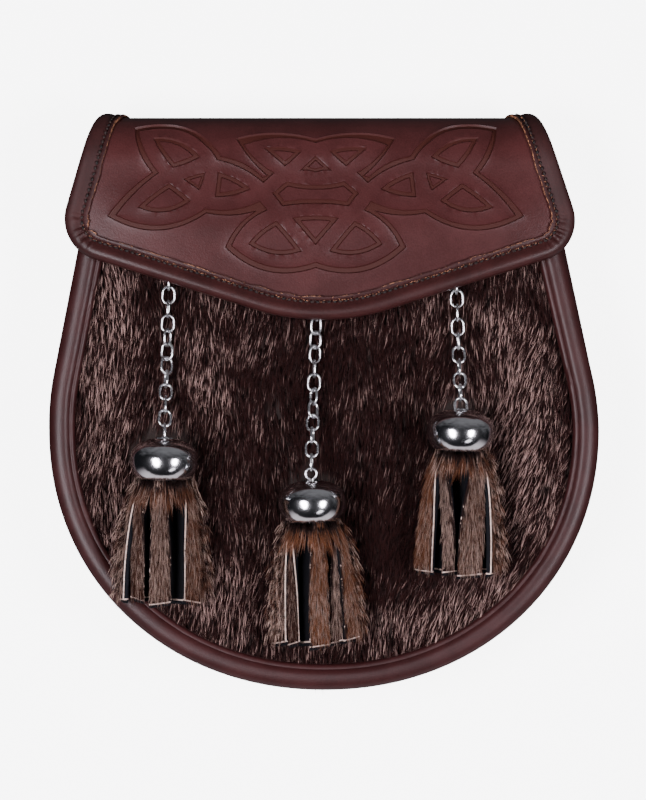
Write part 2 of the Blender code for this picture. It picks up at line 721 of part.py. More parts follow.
def tassel(row, frame, cutters, group):
    """Cut strips of hide spreading from a head that sits inside the cap."""
    name = "tassel_" + row["side"]
    phase = row["strip_phase"]
    # In the mouth, the strips' outer corners stay clear of the flats of the cap's inner skin.
    mouth_strip = 0.60
    clear = (CAP_MOUTH / 2 - CAP_WALL / 3) * math.cos(math.pi / CAP_SIDES) - CLEARANCE
    mouth = math.sqrt(clear ** 2 - (STRIP_WIDTH * mouth_strip / 2) ** 2) - STRIP_WALL / 2
    head_top = -(CAP_BELOW - TASSEL_HEAD_HEIGHT)
    # Share of the way down, half width and half thickness of the tassel as shares of its spread
    # and thickness, and strip width as a share of the full strip.
    sections = (
        {"down": -0.06, "wide": None, "strip": 0.52},
        {"down": 0.03, "wide": None, "strip": mouth_strip},
        {"down": 0.38, "wide": 0.74, "strip": 0.84},
        {"down": 1.0, "wide": 1.0, "strip": 1.0},
    )
    stations = []
    for section in sections:
        if section["wide"] is None:
            ovals = oval_stations(mouth, mouth, STRIPS, phase)
        else:
            wide = section["wide"]
            spread = mouth + (TASSEL_SPREAD / 2 - mouth) * wide
            thick = mouth + (TASSEL_THICKNESS / 2 - mouth) * wide
            ovals = oval_stations(spread, thick, STRIPS, phase)
        stations.append((-CAP_BELOW - TASSEL_LENGTH * section["down"], ovals, section["strip"]))
    head_bottom = -CAP_BELOW + 1.5 * MM
    bpy.ops.mesh.primitive_cylinder_add(vertices=16, radius=mouth + STRIP_WALL * 0.2,
                                        depth=head_top - head_bottom)
    head = bpy.context.object
    head_data = head.data
    head_data.transform(Matrix.Rotation(math.pi / 2, 4, "X"))
    head_data.transform(Matrix.Translation((0, (head_top + head_bottom) / 2, 0)))
    bpy.data.objects.remove(head, do_unlink=True)
    made = new_object(name, head_data, "tassel_fur", group)
    strips = bpy.data.collections.new(name + "_strips")
    cutters.children.link(strips)
    for k in range(STRIPS):
        rings = []
        for level, ovals, strip in stations:
            place, along = ovals[k]
            out = Vector((along.y, -along.x))
            half = STRIP_WIDTH * strip / 2
            corners = ((-half, -STRIP_WALL / 2), (half, -STRIP_WALL / 2),
                       (half, STRIP_WALL / 2), (-half, STRIP_WALL / 2))
            ring = []
            for across, through in corners:
                spot = place + along * across + out * through
                ring.append((spot.x, level, spot.y))
            rings.append(ring)
        piece = new_object(name + "_strip", lofted_mesh(name + "_strip", rings), "tassel_fur", strips)
        piece.matrix_world = frame
        piece.hide_render = True
        piece.display_type = "WIRE"
    made.matrix_world = frame
    join = made.modifiers.new("strips", "BOOLEAN")
    join.operation = "UNION"
    join.operand_type = "COLLECTION"
    join.collection = strips
    return made


def chain(row, link, group, cutters):
    line, step = chain_line(row)
    staple(row, group)
    distance = LINK_LENGTH / 2 - LINK_WIRE - LINK_PLAY - STAPLE_WIRE / 2
    for number, roll in enumerate(row["rolls"], start=1):
        before = line_point(line, step, distance - PITCH / 2)
        after = line_point(line, step, distance + PITCH / 2)
        made = bpy.data.objects.new("chain_%s_link_%02d" % (row["side"], number), link)
        made.matrix_world = turned_frame((before + after) / 2, after - before, roll)
        group.objects.link(made)
        distance += PITCH
    frame = tassel_frame(row, line, step)
    tassel_eye(row, frame, group)
    tassel_cap(row, frame, group)
    tassel(row, frame, cutters, group)


def main():
    clear_scene()
    group = new_collection("sporran_pouch")
    cutters = new_collection("joining_shapes")
    rim("back_rim", BACK_RIM_Z, 0.0, group)
    rim("front_rim", FRONT_RIM_Z, 1.0, group)
    gusset(group)
    back_panel(group)
    front_panel(group)
    flap(group)
    flap_binding(group)
    belt_loop("left", -1, group)
    belt_loop("right", 1, group)
    link = link_mesh()
    for row in CHAINS:
        chain(row, link, group, cutters)


main()
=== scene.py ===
"""Looks of the sporran pouch: pressed and stitched leather, fur hide, chrome chains and caps."""
import json
import math
from collections import namedtuple

import bpy
import numpy as np
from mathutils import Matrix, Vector
from mathutils.geometry import delaunay_2d_cdt

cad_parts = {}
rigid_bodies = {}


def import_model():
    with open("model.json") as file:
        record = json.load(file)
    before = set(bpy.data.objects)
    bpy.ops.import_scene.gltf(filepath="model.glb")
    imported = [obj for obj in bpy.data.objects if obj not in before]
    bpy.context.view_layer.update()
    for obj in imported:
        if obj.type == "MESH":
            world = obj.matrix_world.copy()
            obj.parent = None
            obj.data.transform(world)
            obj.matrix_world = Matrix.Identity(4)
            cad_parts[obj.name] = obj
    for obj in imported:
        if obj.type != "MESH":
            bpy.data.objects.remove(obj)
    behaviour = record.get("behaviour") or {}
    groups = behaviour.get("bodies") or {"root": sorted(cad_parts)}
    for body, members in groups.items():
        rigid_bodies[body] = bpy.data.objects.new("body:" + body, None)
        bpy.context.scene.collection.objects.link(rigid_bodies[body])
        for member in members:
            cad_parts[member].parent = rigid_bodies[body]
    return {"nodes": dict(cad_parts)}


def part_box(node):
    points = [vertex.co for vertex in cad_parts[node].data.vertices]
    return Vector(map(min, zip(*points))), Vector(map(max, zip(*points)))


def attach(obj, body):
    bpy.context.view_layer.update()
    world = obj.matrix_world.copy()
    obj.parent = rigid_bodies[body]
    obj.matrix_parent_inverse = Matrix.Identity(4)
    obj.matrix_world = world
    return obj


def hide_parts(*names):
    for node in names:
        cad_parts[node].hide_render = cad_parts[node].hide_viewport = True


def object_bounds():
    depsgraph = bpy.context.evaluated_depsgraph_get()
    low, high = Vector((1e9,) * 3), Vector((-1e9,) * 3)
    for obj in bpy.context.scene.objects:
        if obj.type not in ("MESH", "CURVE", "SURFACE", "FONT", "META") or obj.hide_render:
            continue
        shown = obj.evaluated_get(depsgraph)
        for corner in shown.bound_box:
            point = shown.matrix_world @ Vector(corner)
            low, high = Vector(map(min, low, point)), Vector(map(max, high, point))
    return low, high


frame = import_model()
CAD_LOW, CAD_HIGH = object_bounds()

MM = 0.001
SIDES = ("left", "centre", "right")

# Body, as the frame gives it
HALF_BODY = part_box("back_rim")[1].x
BOTTOM_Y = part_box("back_rim")[0].y
BODY_TOP_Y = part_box("back_rim")[1].y
RIM_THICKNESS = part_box("back_rim")[1].z
BODY_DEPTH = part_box("front_rim")[1].z
BELLY_Y = BOTTOM_Y + 90.5 * MM
BELLY_POWER = 2.08
SHOULDER_RADIUS = 92.0 * MM
SIDE_LEAN = 0.215
FRONT_EASE = 0.5 * MM
FRONT_SKEW = 0.02
RIM_WIDTH = 9.2 * MM
RIM_POWER = 2 / 2.05
RIM_GROOVE = 0.85 * MM
RIM_GROOVE_INSET = 7.3 * MM
GUSSET_INSET = 2.6 * MM
GUSSET_BULGE = 1.4 * MM
GUSSET_WALL = 1.8 * MM
RIM_GAP = 0.3 * MM
HIDE_EDGE_DROP = 3.4 * MM
HIDE_DOME = 2.2 * MM
HIDE_DROP = 2.1 * MM                 # the hide's skin below the nap
BACK_FACE_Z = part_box("back_panel")[0].z

# Flap, as in the frame
FLAP_WALL = 2.0 * MM
FLAP_SKIN = 2.4 * MM                 # from the flap's middle to the binding's face
FLAP_FRONT_Z = BODY_DEPTH + 0.5 * MM + FLAP_SKIN
LAP_Z = BACK_FACE_Z - 0.3 * MM - FLAP_WALL / 2
FOLD_RADIUS = (FLAP_FRONT_Z - LAP_Z) / 2
FOLD_Z = (FLAP_FRONT_Z + LAP_Z) / 2
FOLD_Y = CAD_HIGH.y - FOLD_RADIUS - FLAP_SKIN
FOLD_RUN = math.pi * FOLD_RADIUS
FLAP_CROWN = 3.5 * MM
FLAP_CROWN_REACH = 80.0 * MM
FLAP_CROWN_RUN = 24.0 * MM
FLAP_V_ANGLE = math.radians(17.5)
FLAP_SIDE_ANGLE = math.radians(17.4)
FLAP_CORNER_RADIUS = 14.4 * MM
FLAP_TIP_RADIUS = 78.0 * MM
FLAP_TIP_V = FOLD_Y - 28.2 * MM
HALF_FLAP_AT_FOLD = 83.5 * MM
LAP_LENGTH = 16.0 * MM
LAP_WIDTH = 124.0 * MM
FLAP_INSET = 1.4 * MM                # flap's edge inside the binding

# Binding
BINDING_FACE = 8.1 * MM
BINDING_UNDER = 6.5 * MM
BINDING_ROLL = 0.9 * MM
BINDING_STITCH = 6.1 * MM            # stitch line, in from the edge
STITCH_SPACING = 1.95 * MM

# Links and eyes
LINK_LENGTH = 6.75 * MM
LINK_WIDTH = 5.1 * MM
LINK_WIRE = 0.94 * MM
EYE_WIDTH = 4.7 * MM
EYE_WIRE = 0.9 * MM
CAP_RADIUS = 11.75 * MM
CAP_ABOVE = 7.0 * MM
CAP_BELOW = 6.8 * MM
CAP_WALL = 0.9 * MM
CAP_HOLE = 6.4 * MM
CAP_MOUTH = 17.8 * MM
TASSEL_LENGTH = 43.0 * MM
EYE_OUT = {"left": -0.229, "centre": 0.343, "right": -0.371}
EYE_ROLL = {"left": 8, "centre": 0, "right": 96}

# Photo view
PHOTO_HEIGHT = 800
MM_PER_PIXEL = 0.3466
CAMERA_HEIGHT = 2.5
CAMERA_X = -0.35 * MM
CAMERA_Y = 0.5 * MM
SENSOR = 36.0

# The pressed pattern as seen from the front. Each row is a point and the bow of the arc from it to
# the next point, in millimetres: across from the pattern's middle line, up from the pouch's middle,
# and the bow outwards. Rows of a mirrored outline start and end on the middle line.
PATTERN_SHIFT = -2.9
KNOT_OUTER = (
    (0.0, 90.9, 2.0), (27.6, 91.1, 0.8), (17.0, 78.2, 0.0), (18.3, 77.7, 1.3), (32.6, 84.9, 0.4),
    (38.0, 91.0, 0.8), (48.5, 95.7, 0.7), (62.8, 94.8, 1.5), (56.7, 79.2, 1.0), (72.2, 64.1, 5.5),
    (37.7, 65.0, 1.0), (21.3, 65.5, 1.3), (31.3, 53.2, 4.9), (0.0, 46.1, 0.0),
)
KNOT_INNER = (
    (0.0, 89.4, 2.1), (24.6, 88.7, 0.9), (14.1, 79.2, 0.0), (18.1, 75.5, 1.2), (34.2, 83.5, 0.4),
    (39.2, 89.4, 0.8), (48.6, 94.1, 0.6), (61.1, 93.4, 1.0), (54.1, 79.1, 0.9), (68.8, 64.5, 4.5),
    (38.3, 66.8, 1.7), (19.2, 69.5, 0.0), (16.5, 66.1, 1.8), (28.8, 53.9, 4.4), (0.0, 48.3, 0.0),
)
SIDE_CELLS = (
    ((56.4, 91.4, 2.4), (39.8, 84.6, 0.4), (49.4, 80.8, 0.6)),
    ((50.7, 75.6, 0.2), (43.0, 69.5, 2.9), (61.7, 67.1, 0.4)),
    ((45.9, 77.0, 0.2), (38.1, 79.3, 0.3), (40.2, 72.9, 0.0)),
    ((33.9, 79.5, 0.8), (22.3, 73.5, 0.8), (34.9, 70.6, 0.0)),
    ((18.1, 87.8, 0.9), (4.6, 86.8, 0.2), (10.6, 81.3, 0.0)),
    ((13.4, 62.5, 0.2), (4.6, 51.9, 2.4), (23.3, 54.4, 0.9)),
)
MIDDLE_CELLS = (
    ((0.0, 85.2, 0.0), (5.7, 79.8, -0.4), (0.0, 79.2, 0.0)),
    ((0.0, 75.0, -0.4), (9.9, 76.3, 0.0), (15.1, 72.1, 0.0), (11.4, 67.4, -0.3), (0.0, 68.3, 0.0)),
    ((0.0, 64.3, 0.2), (8.2, 63.5, 0.0), (0.0, 54.0, 0.0)),
)
CELL_CHANNEL = 1.75 * MM
PRESS_DEPTH = 0.48 * MM
PRESS_RAMP = 0.36 * MM
PUFF = 0.20 * MM                     # how far the leather swells beside a channel
PUFF_FADE = 0.8 * MM
PUFF_LINE = 0.38 * MM                # extra line of points beside a channel
ARC_STEP = 1.0                       # spacing of points along the arcs, in millimetres
FLAP_GRID = 1.6 * MM

# Strips of each tassel: the middle of the strip's lower end (mm), its width there (mm), how far its
# fur looks sideways (degrees), its share of the length, how ginger and how light its hair is, and
# which of its long edges shows pale skin.
Strip = namedtuple("Strip", "across deep wide turn long warm pale line")
STRIPS = {
    "left": (
        (-13.4, -1.4, 6.4, -72, 0.985, 0.2, 0.95, "right"),
        (-8.3, 1.5, 4.8, -6, 0.97, 0.2, 0.65, ""),
        (-0.6, 3.4, 7.4, 2, 1.0, 0.3, 1.05, ""),
        (10.5, 1.4, 6.2, 20, 0.985, 0.5, 0.65, "left"),
        (4.9, -2.8, 7.4, 180, 0.985, 0.2, 0.2, ""),
        (-4.9, -3.6, 8.0, -175, 0.97, 0.2, 0.2, ""),
        (12.6, -3.4, 6.6, 82, 0.975, 0.3, 0.65, ""),
        (0.0, -6.0, 8.4, 180, 0.96, 0.2, 0.2, ""),
    ),
    "centre": (
        (-12.4, -0.9, 7.0, -48, 0.975, 0.3, 0.85, "right"),
        (-7.9, 0.9, 4.2, -12, 0.98, 0.1, 0.45, "right"),
        (1.0, 3.6, 7.2, 6, 1.0, 2.0, 0.70, ""),
        (6.6, 0.8, 4.4, 10, 0.98, 0.1, 1.15, "right"),
        (11.8, 0.6, 5.8, 28, 0.96, 0.9, 0.55, ""),
        (-3.6, -2.8, 8.0, -178, 0.985, 0.2, 0.2, ""),
        (5.6, -4.6, 8.0, 178, 0.97, 0.2, 0.2, ""),
        (13.2, -3.8, 6.4, 80, 0.97, 0.7, 0.65, ""),
    ),
    "right": (
        (-10.8, 0.4, 7.0, -34, 0.985, 0.8, 0.55, "right"),
        (-2.6, 1.2, 4.6, -4, 0.985, 0.1, 1.25, ""),
        (4.6, 2.8, 8.6, 6, 1.0, 0.4, 0.95, ""),
        (12.6, -0.2, 6.8, 66, 0.985, 0.5, 0.75, "left"),
        (-5.2, -3.0, 8.0, -178, 0.98, 0.2, 0.2, ""),
        (2.6, -3.4, 7.6, 180, 0.98, 0.2, 0.2, ""),
        (9.4, -5.6, 7.4, 165, 0.97, 0.3, 0.2, ""),
        (-11.4, -4.2, 7.4, -120, 0.97, 0.3, 0.3, ""),
    ),
}
STRIP_WALL = 2.0 * MM
HAIR_INSET = 0.55 * MM               # hair keeps this far from a strip's cut edge
SHOWN_LINE = 0.80                    # how much skin shows at an edge that lies bare
HIDDEN_LINE = 0.34                   # how much skin shows at an edge that the hair lies over: kept low as painted shade from the hair
END_LINE = 0.62                      # and at the lower ends
COLLAR_WARM = {"left": 0.5, "centre": 1.2, "right": 0.6}
CREAM_LINE = 0.22 * MM               # pale skin along the cut edges of a strip's face
CREAM_EDGE = 0.40 * MM               # pale skin on the cut itself, the rest of the wall is black



# Node trees

class Socket:
    """An output socket. Using it in an expression adds the Math nodes."""

    def __init__(self, net, socket):
        self.net = net
        self.socket = socket

    def _math(self, operation, left, right):
        return self.net.node("ShaderNodeMath", {0: left, 1: right}, operation=operation)

    def __add__(self, other):
        return self._math("ADD", self, other)

    def __sub__(self, other):
        return self._math("SUBTRACT", self, other)

    def __rsub__(self, other):
        return self._math("SUBTRACT", other, self)

    def __mul__(self, other):
        return self._math("MULTIPLY", self, other)

    __radd__ = __add__
    __rmul__ = __mul__


class Net:
    """Adds nodes to a tree: settings first, then each input's value or link."""

    def __init__(self, tree):
        self.tree = tree

    def fill(self, node, values):
        for key, value in values.items():
            if isinstance(value, Socket):
                self.tree.links.new(value.socket, node.inputs[key])
            else:
                node.inputs[key].default_value = value

    def node(self, kind, inputs=None, output=0, **settings):
        made = self.tree.nodes.new(kind)
        for key, value in settings.items():
            setattr(made, key, value)
        self.fill(made, inputs or {})
        return Socket(self, made.outputs[output])

    def clamp(self, value):
        return self.node("ShaderNodeClamp", {0: value, 1: 0.0, 2: 1.0})

    def smooth_step(self, value, low, high):
        return self.node("ShaderNodeMapRange", {"Value": value, "From Min": low, "From Max": high},
                         interpolation_type="SMOOTHSTEP")

    def mix(self, share, first, second):
        return self.node("ShaderNodeMix", {0: share, 6: first, 7: second}, 2, data_type="RGBA")

    def noise(self, place, scale, detail=3.0, roughness=0.5, distortion=0.0):
        return self.node("ShaderNodeTexNoise", {"Vector": place, "Scale": scale, "Detail": detail,
                                                "Roughness": roughness, "Distortion": distortion})

    def attribute(self, name):
        return self.node("ShaderNodeAttribute", None, "Fac", attribute_name=name)

    def coordinates(self, kind):
        return self.node("ShaderNodeTexCoord", None, kind)

    def bump(self, height, strength, distance):
        return self.node("ShaderNodeBump", {"Strength": strength, "Distance": distance, "Height": height})

    def turned_by(self, rotation, angles):
        by = self.node("FunctionNodeEulerToRotation", {0: angles})
        return self.node("FunctionNodeRotateRotation", {"Rotation": rotation, "Rotate By": by},
                         rotation_space="LOCAL")


# Finishes: each look gives the shader's values from the tree and the place on the piece

def finish(name, look, *values):
    made = bpy.data.materials.new(name)
    made.use_nodes = True
    net = Net(made.node_tree)
    net.fill(made.node_tree.nodes["Principled BSDF"], look(net, net.coordinates("Object"), *values))
    return made


def leather(net, place, dark, light, roughness, grain, sheen, pressed=False):
    """Satin leather: cloudy dye, fine grain with pores, a burnish where it is pressed."""
    cloud = net.noise(place, 70.0, 4.0, 0.6)
    fleck = net.noise(place, 1500.0, 3.0, 0.6)
    pores = net.node("ShaderNodeTexVoronoi", {"Vector": place, "Scale": 1700.0}, feature="F1")
    crease = net.noise(place, 420.0, 4.0, 0.65, 0.6)
    colour = net.mix(net.smooth_step(cloud * 0.62 + fleck * 0.38, 0.34, 0.66), dark, light)
    shine = 0.08 * fleck + 0.05 * cloud + (roughness - 0.06)
    if pressed:
        press = net.attribute("pressed")
        colour = net.mix(press * 0.8, colour, (dark[0] * 1.05, dark[1], dark[2] * 0.72, 1))
        shine = shine + press * 0.12
    return {
        "Base Color": colour,
        "Roughness": shine,
        "Normal": net.bump(pores * 0.45 + fleck * 0.35 + crease * 0.5, 0.32 * grain, 0.00022),
        "Specular IOR Level": sheen,
    }


def binding_leather(net, place):
    """Leather of the binding, with the tan raw cut along its inner edge."""
    cloud = net.noise(place, 90.0, 4.0, 0.6)
    fleck = net.noise(place, 1500.0, 3.0, 0.6)
    crease = net.noise(place, 500.0, 4.0, 0.65, 0.8)
    suede = net.noise(place, 900.0, 4.0, 0.7)
    raw = net.attribute("raw")
    tone = net.smooth_step(cloud * 0.6 + fleck * 0.4, 0.34, 0.66)
    skin = net.mix(tone, (0.026, 0.0068, 0.0064, 1), (0.044, 0.0122, 0.0116, 1))
    cut = net.mix(net.smooth_step(suede, 0.40, 0.66), (0.05, 0.016, 0.009, 1), (0.64, 0.29, 0.15, 1))
    return {
        "Base Color": net.mix(raw, skin, cut),
        "Specular IOR Level": 0.26,
        "Roughness": net.clamp(0.36 + 0.10 * fleck + raw * 0.4 + net.attribute("dull") * 0.22),
        "Normal": net.bump(crease * 0.6 + fleck * 0.4 + suede * raw * 2.0, 0.35, 0.00025),
    }


def fibre(net, place, dark, light, roughness):
    """Thread or raw fibre."""
    return {
        "Base Color": net.mix(net.smooth_step(net.noise(place, 700.0), 0.38, 0.62), dark, light),
        "Roughness": roughness,
        "Normal": net.bump(net.noise(place, 3000.0), 0.4, 0.0002),
    }


def fur(net, place, root, deep_tip, pale_tip, warm_tip):
    """Hair: dark at the root. Some locks, more of them in the pale patches, have light tips."""
    shade = net.attribute("shade")
    patch = net.noise(place, 90.0, 3.0, 0.6)
    lot = net.attribute("tone") * 0.18 + shade * 0.82
    chance = lot + net.attribute("pale") * 0.32 + (patch - 0.5) * 0.60
    brown = net.mix(net.clamp(net.attribute("warm") * (0.45 + shade)), deep_tip, warm_tip)
    tip = net.mix(net.smooth_step(chance, 0.77, 1.07), brown, pale_tip)
    return {
        "Base Color": net.mix(net.smooth_step(net.attribute("along"), 0.25, 0.80), root, tip),
        "Roughness": 0.45 + 0.2 * shade,
        "Specular IOR Level": 0.2,
    }


def hide_skin(net, place):
    streak = net.noise(place, 400.0, 4.0, 0.7)
    return {
        "Base Color": net.mix(streak, (0.008, 0.005, 0.004, 1), (0.035, 0.018, 0.013, 1)),
        "Roughness": 0.8,
        "Normal": net.bump(streak, 0.6, 0.0006),
    }


def strip_leather(net, place):
    """Tassel strips: dark brown under the fur, cream at the cut edge, black on the flesh side. The cream edge
    is painted dark in patches, most where hair lies over it: painted shade from the hair.
    """
    grain = net.noise(place, 1100.0, 4.0, 0.7)
    # Painted shade: this noise darkens the cream edge in patches, standing for the shadow of the hair that
    # lies over it.
    worn = net.noise(place, 520.0, 3.0, 0.7)
    face = net.mix(net.attribute("flesh"), (0.012, 0.005, 0.004, 1), (0.0045, 0.0045, 0.0065, 1))
    cream = net.mix(net.smooth_step(grain, 0.3, 0.6), (0.36, 0.23, 0.18, 1), (0.78, 0.60, 0.52, 1))
    edge = net.smooth_step(net.attribute("cut") + (worn - 0.5) * 1.5, 0.45, 0.65)
    return {
        "Base Color": net.mix(edge, face, cream),
        "Roughness": 0.72,
        "Specular IOR Level": 0.12,
        "Normal": net.bump(grain, 0.5, 0.0003),
    }


def chrome(net, place, dull):
    """Bright plating with faint scratches and fingerprints."""
    haze = net.noise(place, 160.0, 4.0, 0.6)
    scratch = net.noise(place, 2600.0, 2.0, 0.6, 1.5)
    return {
        "Base Color": net.mix(haze, (0.72, 0.72, 0.75, 1), (0.84, 0.84, 0.86, 1)),
        "Metallic": 1.0,
        "Roughness": net.clamp(dull + 0.07 * haze + 0.03 * scratch),
        "Normal": net.bump(scratch, 0.04, 0.00005),
    }


def floor_paint(net, place):
    return {
        "Base Color": net.mix(net.noise(place, 3.0), (0.88, 0.88, 0.88, 1), (0.91, 0.91, 0.91, 1)),
        "Roughness": 0.9,
        "Emission Color": (1.0, 1.0, 1.0, 1),
        "Emission Strength": 6.0,
    }


# Meshes

def linked(name, data):
    """A new object in the scene."""
    made = bpy.data.objects.new(name, data)
    bpy.context.scene.collection.objects.link(made)
    return made


def mesh_object(name, points, faces, material=None, floats=None):
    """An object from points and faces, with float attributes on its points."""
    data = bpy.data.meshes.new(name)
    data.from_pydata([tuple(point) for point in points], [], faces)
    data.update()
    for key, values in (floats or {}).items():
        store = data.attributes.new(key, "FLOAT", "POINT")
        store.data.foreach_set("value", np.asarray(values, dtype=np.float32).reshape(-1))
    if material:
        data.materials.append(material)
    return linked(name, data)


def soften(made, angle=None):
    """Smooth shading, except at edges that turn by more than the angle in degrees."""
    made.data.shade_smooth()
    if angle:
        made.data.set_sharp_from_angle(angle=math.radians(angle))
    return made


def grid_faces(rows, count, around=False, closed=False):
    """Quads of a grid. around joins its last column to the first, closed its last row to the first."""
    index = np.arange(rows * count).reshape(rows, count)
    if around:
        index = np.concatenate([index, index[:, :1]], axis=1)
    if closed:
        index = np.concatenate([index, index[:1]], axis=0)
    corners = [index[:-1, :-1], index[:-1, 1:], index[1:, 1:], index[1:, :-1]]
    return np.stack(corners, axis=-1).reshape(-1, 4)


def sweep(name, rings, material=None, floats=None, closed=False):
    """A body through rings, rows by columns by 3: capped, or closed on itself."""
    rows, count = rings.shape[:2]
    faces = grid_faces(rows, count, True, closed).tolist()
    if not closed:
        faces += [list(range(count))[::-1], list(range((rows - 1) * count, rows * count))]
    return outward(mesh_object(name, rings.reshape(-1, 3), faces, material, floats))


def outward(made):
    """Turns a closed mesh the right way out."""
    data = made.data
    data.calc_loop_triangles()
    places = np.empty(len(data.vertices) * 3)
    data.vertices.foreach_get("co", places)
    corners = np.empty(len(data.loop_triangles) * 3, dtype=np.int32)
    data.loop_triangles.foreach_get("vertices", corners)
    a, b, c = places.reshape(-1, 3)[corners.reshape(-1, 3)].transpose(1, 0, 2)
    if np.einsum("ij,ij->", a, np.cross(b, c)) < 0:
        data.flip_normals()
    return made


def twin(made):
    return linked(made.name, made.data.copy())


def dress(made, material):
    made.data.materials.clear()
    made.data.materials.append(material)
    return made


def seat(made, slot, *nodes):
    """A finished piece: it rides on the pouch and may stand for nodes, which it hides. The slot argument is
    not used.
    """
    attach(made, "root")
    if nodes:
        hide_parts(*nodes)
    return made


def joined(name, objects):
    """One object out of several with the same material."""
    bpy.ops.object.select_all(action="DESELECT")
    for made in objects:
        made.select_set(True)
    bpy.context.view_layer.objects.active = objects[0]
    bpy.ops.object.join()
    objects[0].name = name
    objects[0].data.name = name
    return objects[0]


def baked(made, name):
    """A plain mesh object of what an object's modifiers make; the first object is removed."""
    graph = bpy.context.evaluated_depsgraph_get()
    data = bpy.data.meshes.new_from_object(made.evaluated_get(graph), preserve_all_data_layers=True,
                                           depsgraph=graph)
    plain = linked(name, data)
    data.name = name
    plain.matrix_world = made.matrix_world
    bpy.data.objects.remove(made, do_unlink=True)
    return plain


# Body lines

def body_line(count, share):
    """Even stations round the body, right top to left top: points and inward normals in the plane."""
    lean = math.atan(SIDE_LEAN)
    turn_x = HALF_BODY - SHOULDER_RADIUS * (1 - math.cos(lean))
    turn_y = BELLY_Y + SHOULDER_RADIUS * math.sin(lean)
    side = [(turn_x - (BODY_TOP_Y - turn_y) * SIDE_LEAN, BODY_TOP_Y)]
    side += [(HALF_BODY - SHOULDER_RADIUS * (1 - math.cos(angle)),
              BELLY_Y + SHOULDER_RADIUS * math.sin(angle)) for angle in np.linspace(lean, 0.0, 30)]
    drop = BELLY_Y - BOTTOM_Y
    side += [(HALF_BODY * max(math.cos(angle), 0.0) ** (2 / BELLY_POWER),
              BELLY_Y - drop * math.sin(angle) ** (2 / BELLY_POWER))
             for angle in np.linspace(0.0, math.pi / 2, 200)[1:]]
    right = np.array(side)
    line = resample(np.concatenate([right, right[-2::-1] * (-1, 1)]), count)
    line[:, 0] = front_shift(line[:, 0], line[:, 1], share)
    return line, inward_of(line)


def resample(line, count):
    """Even points along a line."""
    run = run_along(line)
    wanted = np.linspace(0.0, run[-1], count)
    return np.stack([np.interp(wanted, run, line[:, k]) for k in range(line.shape[1])], axis=1)


def circle(count):
    """Even angles round a circle."""
    return 2 * math.pi * np.arange(count) / count


def run_along(line):
    """Length of a line up to each of its points."""
    return np.concatenate([[0.0], np.cumsum(np.linalg.norm(np.diff(line, axis=0), axis=1))])


def inward_of(line):
    """Ways square to a line, on its right."""
    run = np.gradient(line, axis=0)
    run /= np.linalg.norm(run, axis=1)[:, None]
    return np.stack([run[:, 1], -run[:, 0]], axis=1)


def front_shift(x, y, share=1.0):
    """The front frame is a little narrower and leans to the left; share 0 is the back frame."""
    eased = x * (1 - share * FRONT_EASE / HALF_BODY)
    return eased - share * FRONT_SKEW * np.maximum(0.0, y - BELLY_Y)


def hide_face(x, y):
    """Height of the fur's nap."""
    across = np.maximum(1 - (x / HALF_BODY) ** 2, 0.0)
    half = CAD_HIGH.y
    middle = (BODY_TOP_Y - half + RIM_WIDTH) / 2
    along = np.maximum(1 - ((y - middle) / half) ** 2, 0.0)
    return BODY_DEPTH - HIDE_EDGE_DROP + HIDE_DOME * across * along


# Rims, gusset and back

def wavy(length, seed, reach):
    """Smooth random numbers along a line."""
    rng = np.random.default_rng(seed)
    loose = rng.normal(size=length + 8 * reach)
    window = np.hanning(2 * reach + 1)
    soft = np.convolve(loose, window / math.sqrt((window ** 2).sum()), mode="same")
    return soft[4 * reach:4 * reach + length]


def rim_piece(name, centre_z, share, seed, material):
    """A rolled rim: a main roll with a narrow lip along its inner side."""
    stations, around = 380, 26
    line, inward = body_line(stations, share)
    angle = circle(around)
    c, s = np.cos(angle), np.sin(angle)
    inset = RIM_WIDTH / 2 * (1 - np.sign(c) * np.abs(c) ** RIM_POWER)
    rise = RIM_THICKNESS / 2 * np.sign(s) * np.abs(s) ** RIM_POWER
    groove = RIM_GROOVE * np.exp(-((inset - RIM_GROOVE_INSET) / (0.50 * MM)) ** 2)
    rise = rise - np.sign(rise) * groove * (np.abs(rise) > 0.6 * MM)
    crease = wavy(stations, seed, 3)[:, None] * 0.05 * MM
    sag = wavy(stations, seed + 1, 24)[:, None] * 0.10 * MM
    inner = np.clip((inset / RIM_WIDTH - 0.55) / 0.3, 0.0, 1.0)
    depth = inset + sag * np.sin(np.pi * inset / RIM_WIDTH) * 0.5
    place = line[:, None, :] + inward[:, None, :] * depth[:, :, None]
    height = centre_z + rise + np.where(rise > 0, 1.0, 0.0) * crease * inner
    rings = np.stack([place[:, :, 0], np.minimum(place[:, :, 1], BODY_TOP_Y), height], axis=-1)
    return soften(sweep(name, rings, material), 60)


def gusset_piece(material):
    """The side wall between the rims, bulging a little and rippled."""
    stations = 200
    low = RIM_THICKNESS + RIM_GAP
    high = BODY_DEPTH - RIM_THICKNESS - RIM_GAP
    outer = [(t, GUSSET_INSET - GUSSET_BULGE * math.sin(math.pi * t)) for t in np.linspace(0.0, 1.0, 9)]
    inner = [(t, inset + GUSSET_WALL) for t, inset in reversed(outer)]
    base, inward = body_line(stations, 0.0)
    ripple = wavy(stations, 41, 6) * 0.12 * MM
    columns = []
    for share, inset in outer + inner:
        place = base + inward * (inset + ripple * math.sin(math.pi * share))[:, None]
        y = np.minimum(place[:, 1], BODY_TOP_Y)
        z = np.full(stations, low + (high - low) * share)
        columns.append(np.stack([front_shift(place[:, 0], y, share), y, z], axis=1))
    return soften(sweep("gusset_wall", np.stack(columns, axis=1), material), 50)


